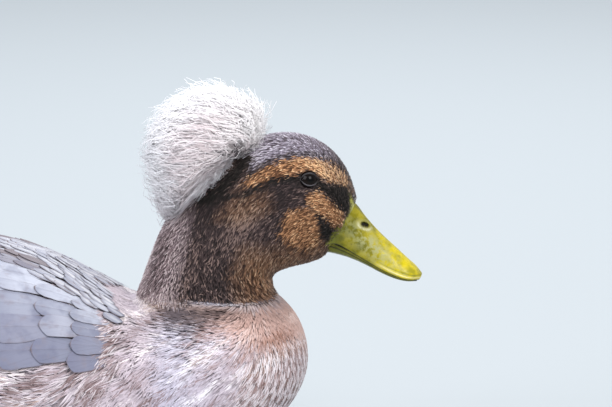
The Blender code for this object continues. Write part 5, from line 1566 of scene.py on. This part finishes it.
def buildLeg(side, word):
    f = footValues
    draw = np.random.default_rng(f["seed"] + side)
    shank, foot, claws = footParts()

    def own(rings):
        return rings if side > 0 else mirrored(rings)

    for name, parts, material, slotName, nodes in (
            ("shank_" + word, shank, footSkin, "leg_skin", ("leg_" + word,)),
            ("toes_" + word, foot[:1], footSkin, "foot_skin", ("foot_" + word,)),
            ("web_" + word, foot[1:], footSkin, "foot_skin", ()),
            ("claws_" + word, claws, clawHorn, "foot_skin", ())):
        rings = own(parts[0])
        rootUv, patch = cellUv(len(rings))
        _, stations, corners, _ = rings.shape
        mesh = ringsMesh(name, rings, np.cos(np.linspace(0, 2 * math.pi, corners)), np.linspace(0, 1, stations),
                         rootUv, {}, draw.random(len(rings)), patch * 0.9)
        addPiece(name, mesh, material, nodes)
    plain = {"marks": np.zeros((1, 3)), "bodyMarks": np.array([[0, 1, 0.3]]), "bare": np.zeros((1, 3))}
    share, turn = np.meshgrid(np.linspace(0.02, 0.98, 20), np.linspace(0, 2 * math.pi, 24, endpoint=False),
                              indexing="ij")
    rings = own(thighPoint(share, turn, 1.3)[0][None])[0]
    mesh = singleMesh("thigh_" + word, rings, np.cos(turn[0]), share[:, 0], 0.9, plain)
    addPiece("thigh_" + word, mesh, coatSkin)
    count = f["tufts"]
    start, turn = 0.08 + 0.6 * draw.random(count), 2 * math.pi * draw.random(count)
    stations = np.linspace(0, 1, 3)
    shares = start[:, None] - stations[None, :] * (0.10 + 0.07 * draw.random(count))[:, None]
    paths, normals = thighPoint(np.abs(shares), np.broadcast_to(turn[:, None], shares.shape), 0)
    lifts = (stations - 0.6)[None, :] * 0.9 * np.ones(shares.shape)
    rings, across = tuftRings(paths, normals, 0.5 * np.array((1, 0.9, 0.2)) * np.ones(shares.shape), lifts, fineRing)
    rings[..., 2] = np.maximum(rings[..., 2], 0.05)
    marks = {"marks": np.zeros((count, 3)), "bodyMarks": np.tile((0, 1, 0.4), (count, 1))}
    bent = normals * np.array((1, side, 1))
    mesh = ringsMesh("thigh_coat_" + word, own(rings), across, stations, fitUv(np.stack((turn, start), -1)), marks,
                     np.clip(0.5 + 0.14 * draw.normal(size=count), 0, 1), 0.003, bent=bent[:, :, None])
    addPiece("thigh_coat_" + word, mesh, coatSoft)


buildLeg(1, "left")
buildLeg(-1, "right")
print("legs done")


stageValues = {
    "floorRadius": 14.0, "floorEdge": 64, "tone": (0.47, 0.50, 0.52),
    "lamps": {  # place and size in metres, power, colour
        "key": ((0.9, -1.5, 1.7), 1.3, 42, (1.0, 0.98, 0.95)),
        "fill": ((-1.5, -1.0, 1.5), 1.6, 36, (0.92, 0.95, 1.0)),
        "rim": ((0.3, 1.4, 1.6), 1.2, 26, (0.95, 0.98, 1.0)),
    },
    "worldTone": (0.88, 0.93, 1.0), "worldPower": 0.60,
    "cameraTarget": (0.1738, 0.0, 0.180), "cameraLift": 12, "cameraDistance": 3.0, "lens": 294.1,
}


def buildStage():
    s = stageValues
    edge = s["floorEdge"]
    turns = np.linspace(0, 2 * math.pi, edge, endpoint=False)
    points = [(0, 0, 0)] + [(s["floorRadius"] * math.cos(a), s["floorRadius"] * math.sin(a), 0) for a in turns]
    faces = [(0, k + 1, (k + 1) % edge + 1) for k in range(edge)]
    mesh = bpy.data.meshes.new("floor")
    mesh.from_pydata(points, [], faces)
    mesh.shade_smooth()
    floor = bpy.data.objects.new("floor", mesh)
    bpy.context.scene.collection.objects.link(floor)
    material, tree, shader = newMaterial("paleFloor", {"Roughness": 0.85, "Specular IOR Level": 0.15})
    darker = tuple(c * 0.97 for c in s["tone"])
    tree.feed(shader.inputs["Base Color"], tree.blend(tree.noise(3.0, 2), s["tone"], darker))
    mesh.materials.append(material)
    for name, (place, size, power, colour) in s["lamps"].items():
        lamp = bpy.data.lights.new(name, "AREA")
        lamp.energy, lamp.size, lamp.color = power, size, colour
        made = bpy.data.objects.new(name, lamp)
        bpy.context.scene.collection.objects.link(made)
        made.location = place
        made.rotation_euler = (Vector((0.05, 0, 0.12)) - Vector(place)).to_track_quat("-Z", "Y").to_euler()
    world = bpy.data.worlds.new("studio")
    world.use_nodes = True
    world.node_tree.nodes["Background"].inputs["Color"].default_value = (*s["worldTone"], 1)
    world.node_tree.nodes["Background"].inputs["Strength"].default_value = s["worldPower"]
    bpy.context.scene.world = world
    bpy.context.scene.view_settings.view_transform = "Standard"
    camera = bpy.data.objects.new("camera", bpy.data.cameras.new("camera"))
    bpy.context.scene.collection.objects.link(camera)
    lift = math.radians(s["cameraLift"])
    target = Vector(s["cameraTarget"])
    camera.location = target + Vector((0, -math.cos(lift), math.sin(lift))) * s["cameraDistance"]
    camera.rotation_euler = (target - camera.location).to_track_quat("-Z", "Y").to_euler()
    camera.data.lens = s["lens"]
    camera.data.sensor_width = 36
    camera.data.clip_start = 0.1
    bpy.context.scene.camera = camera


buildStage()
print("stage done")
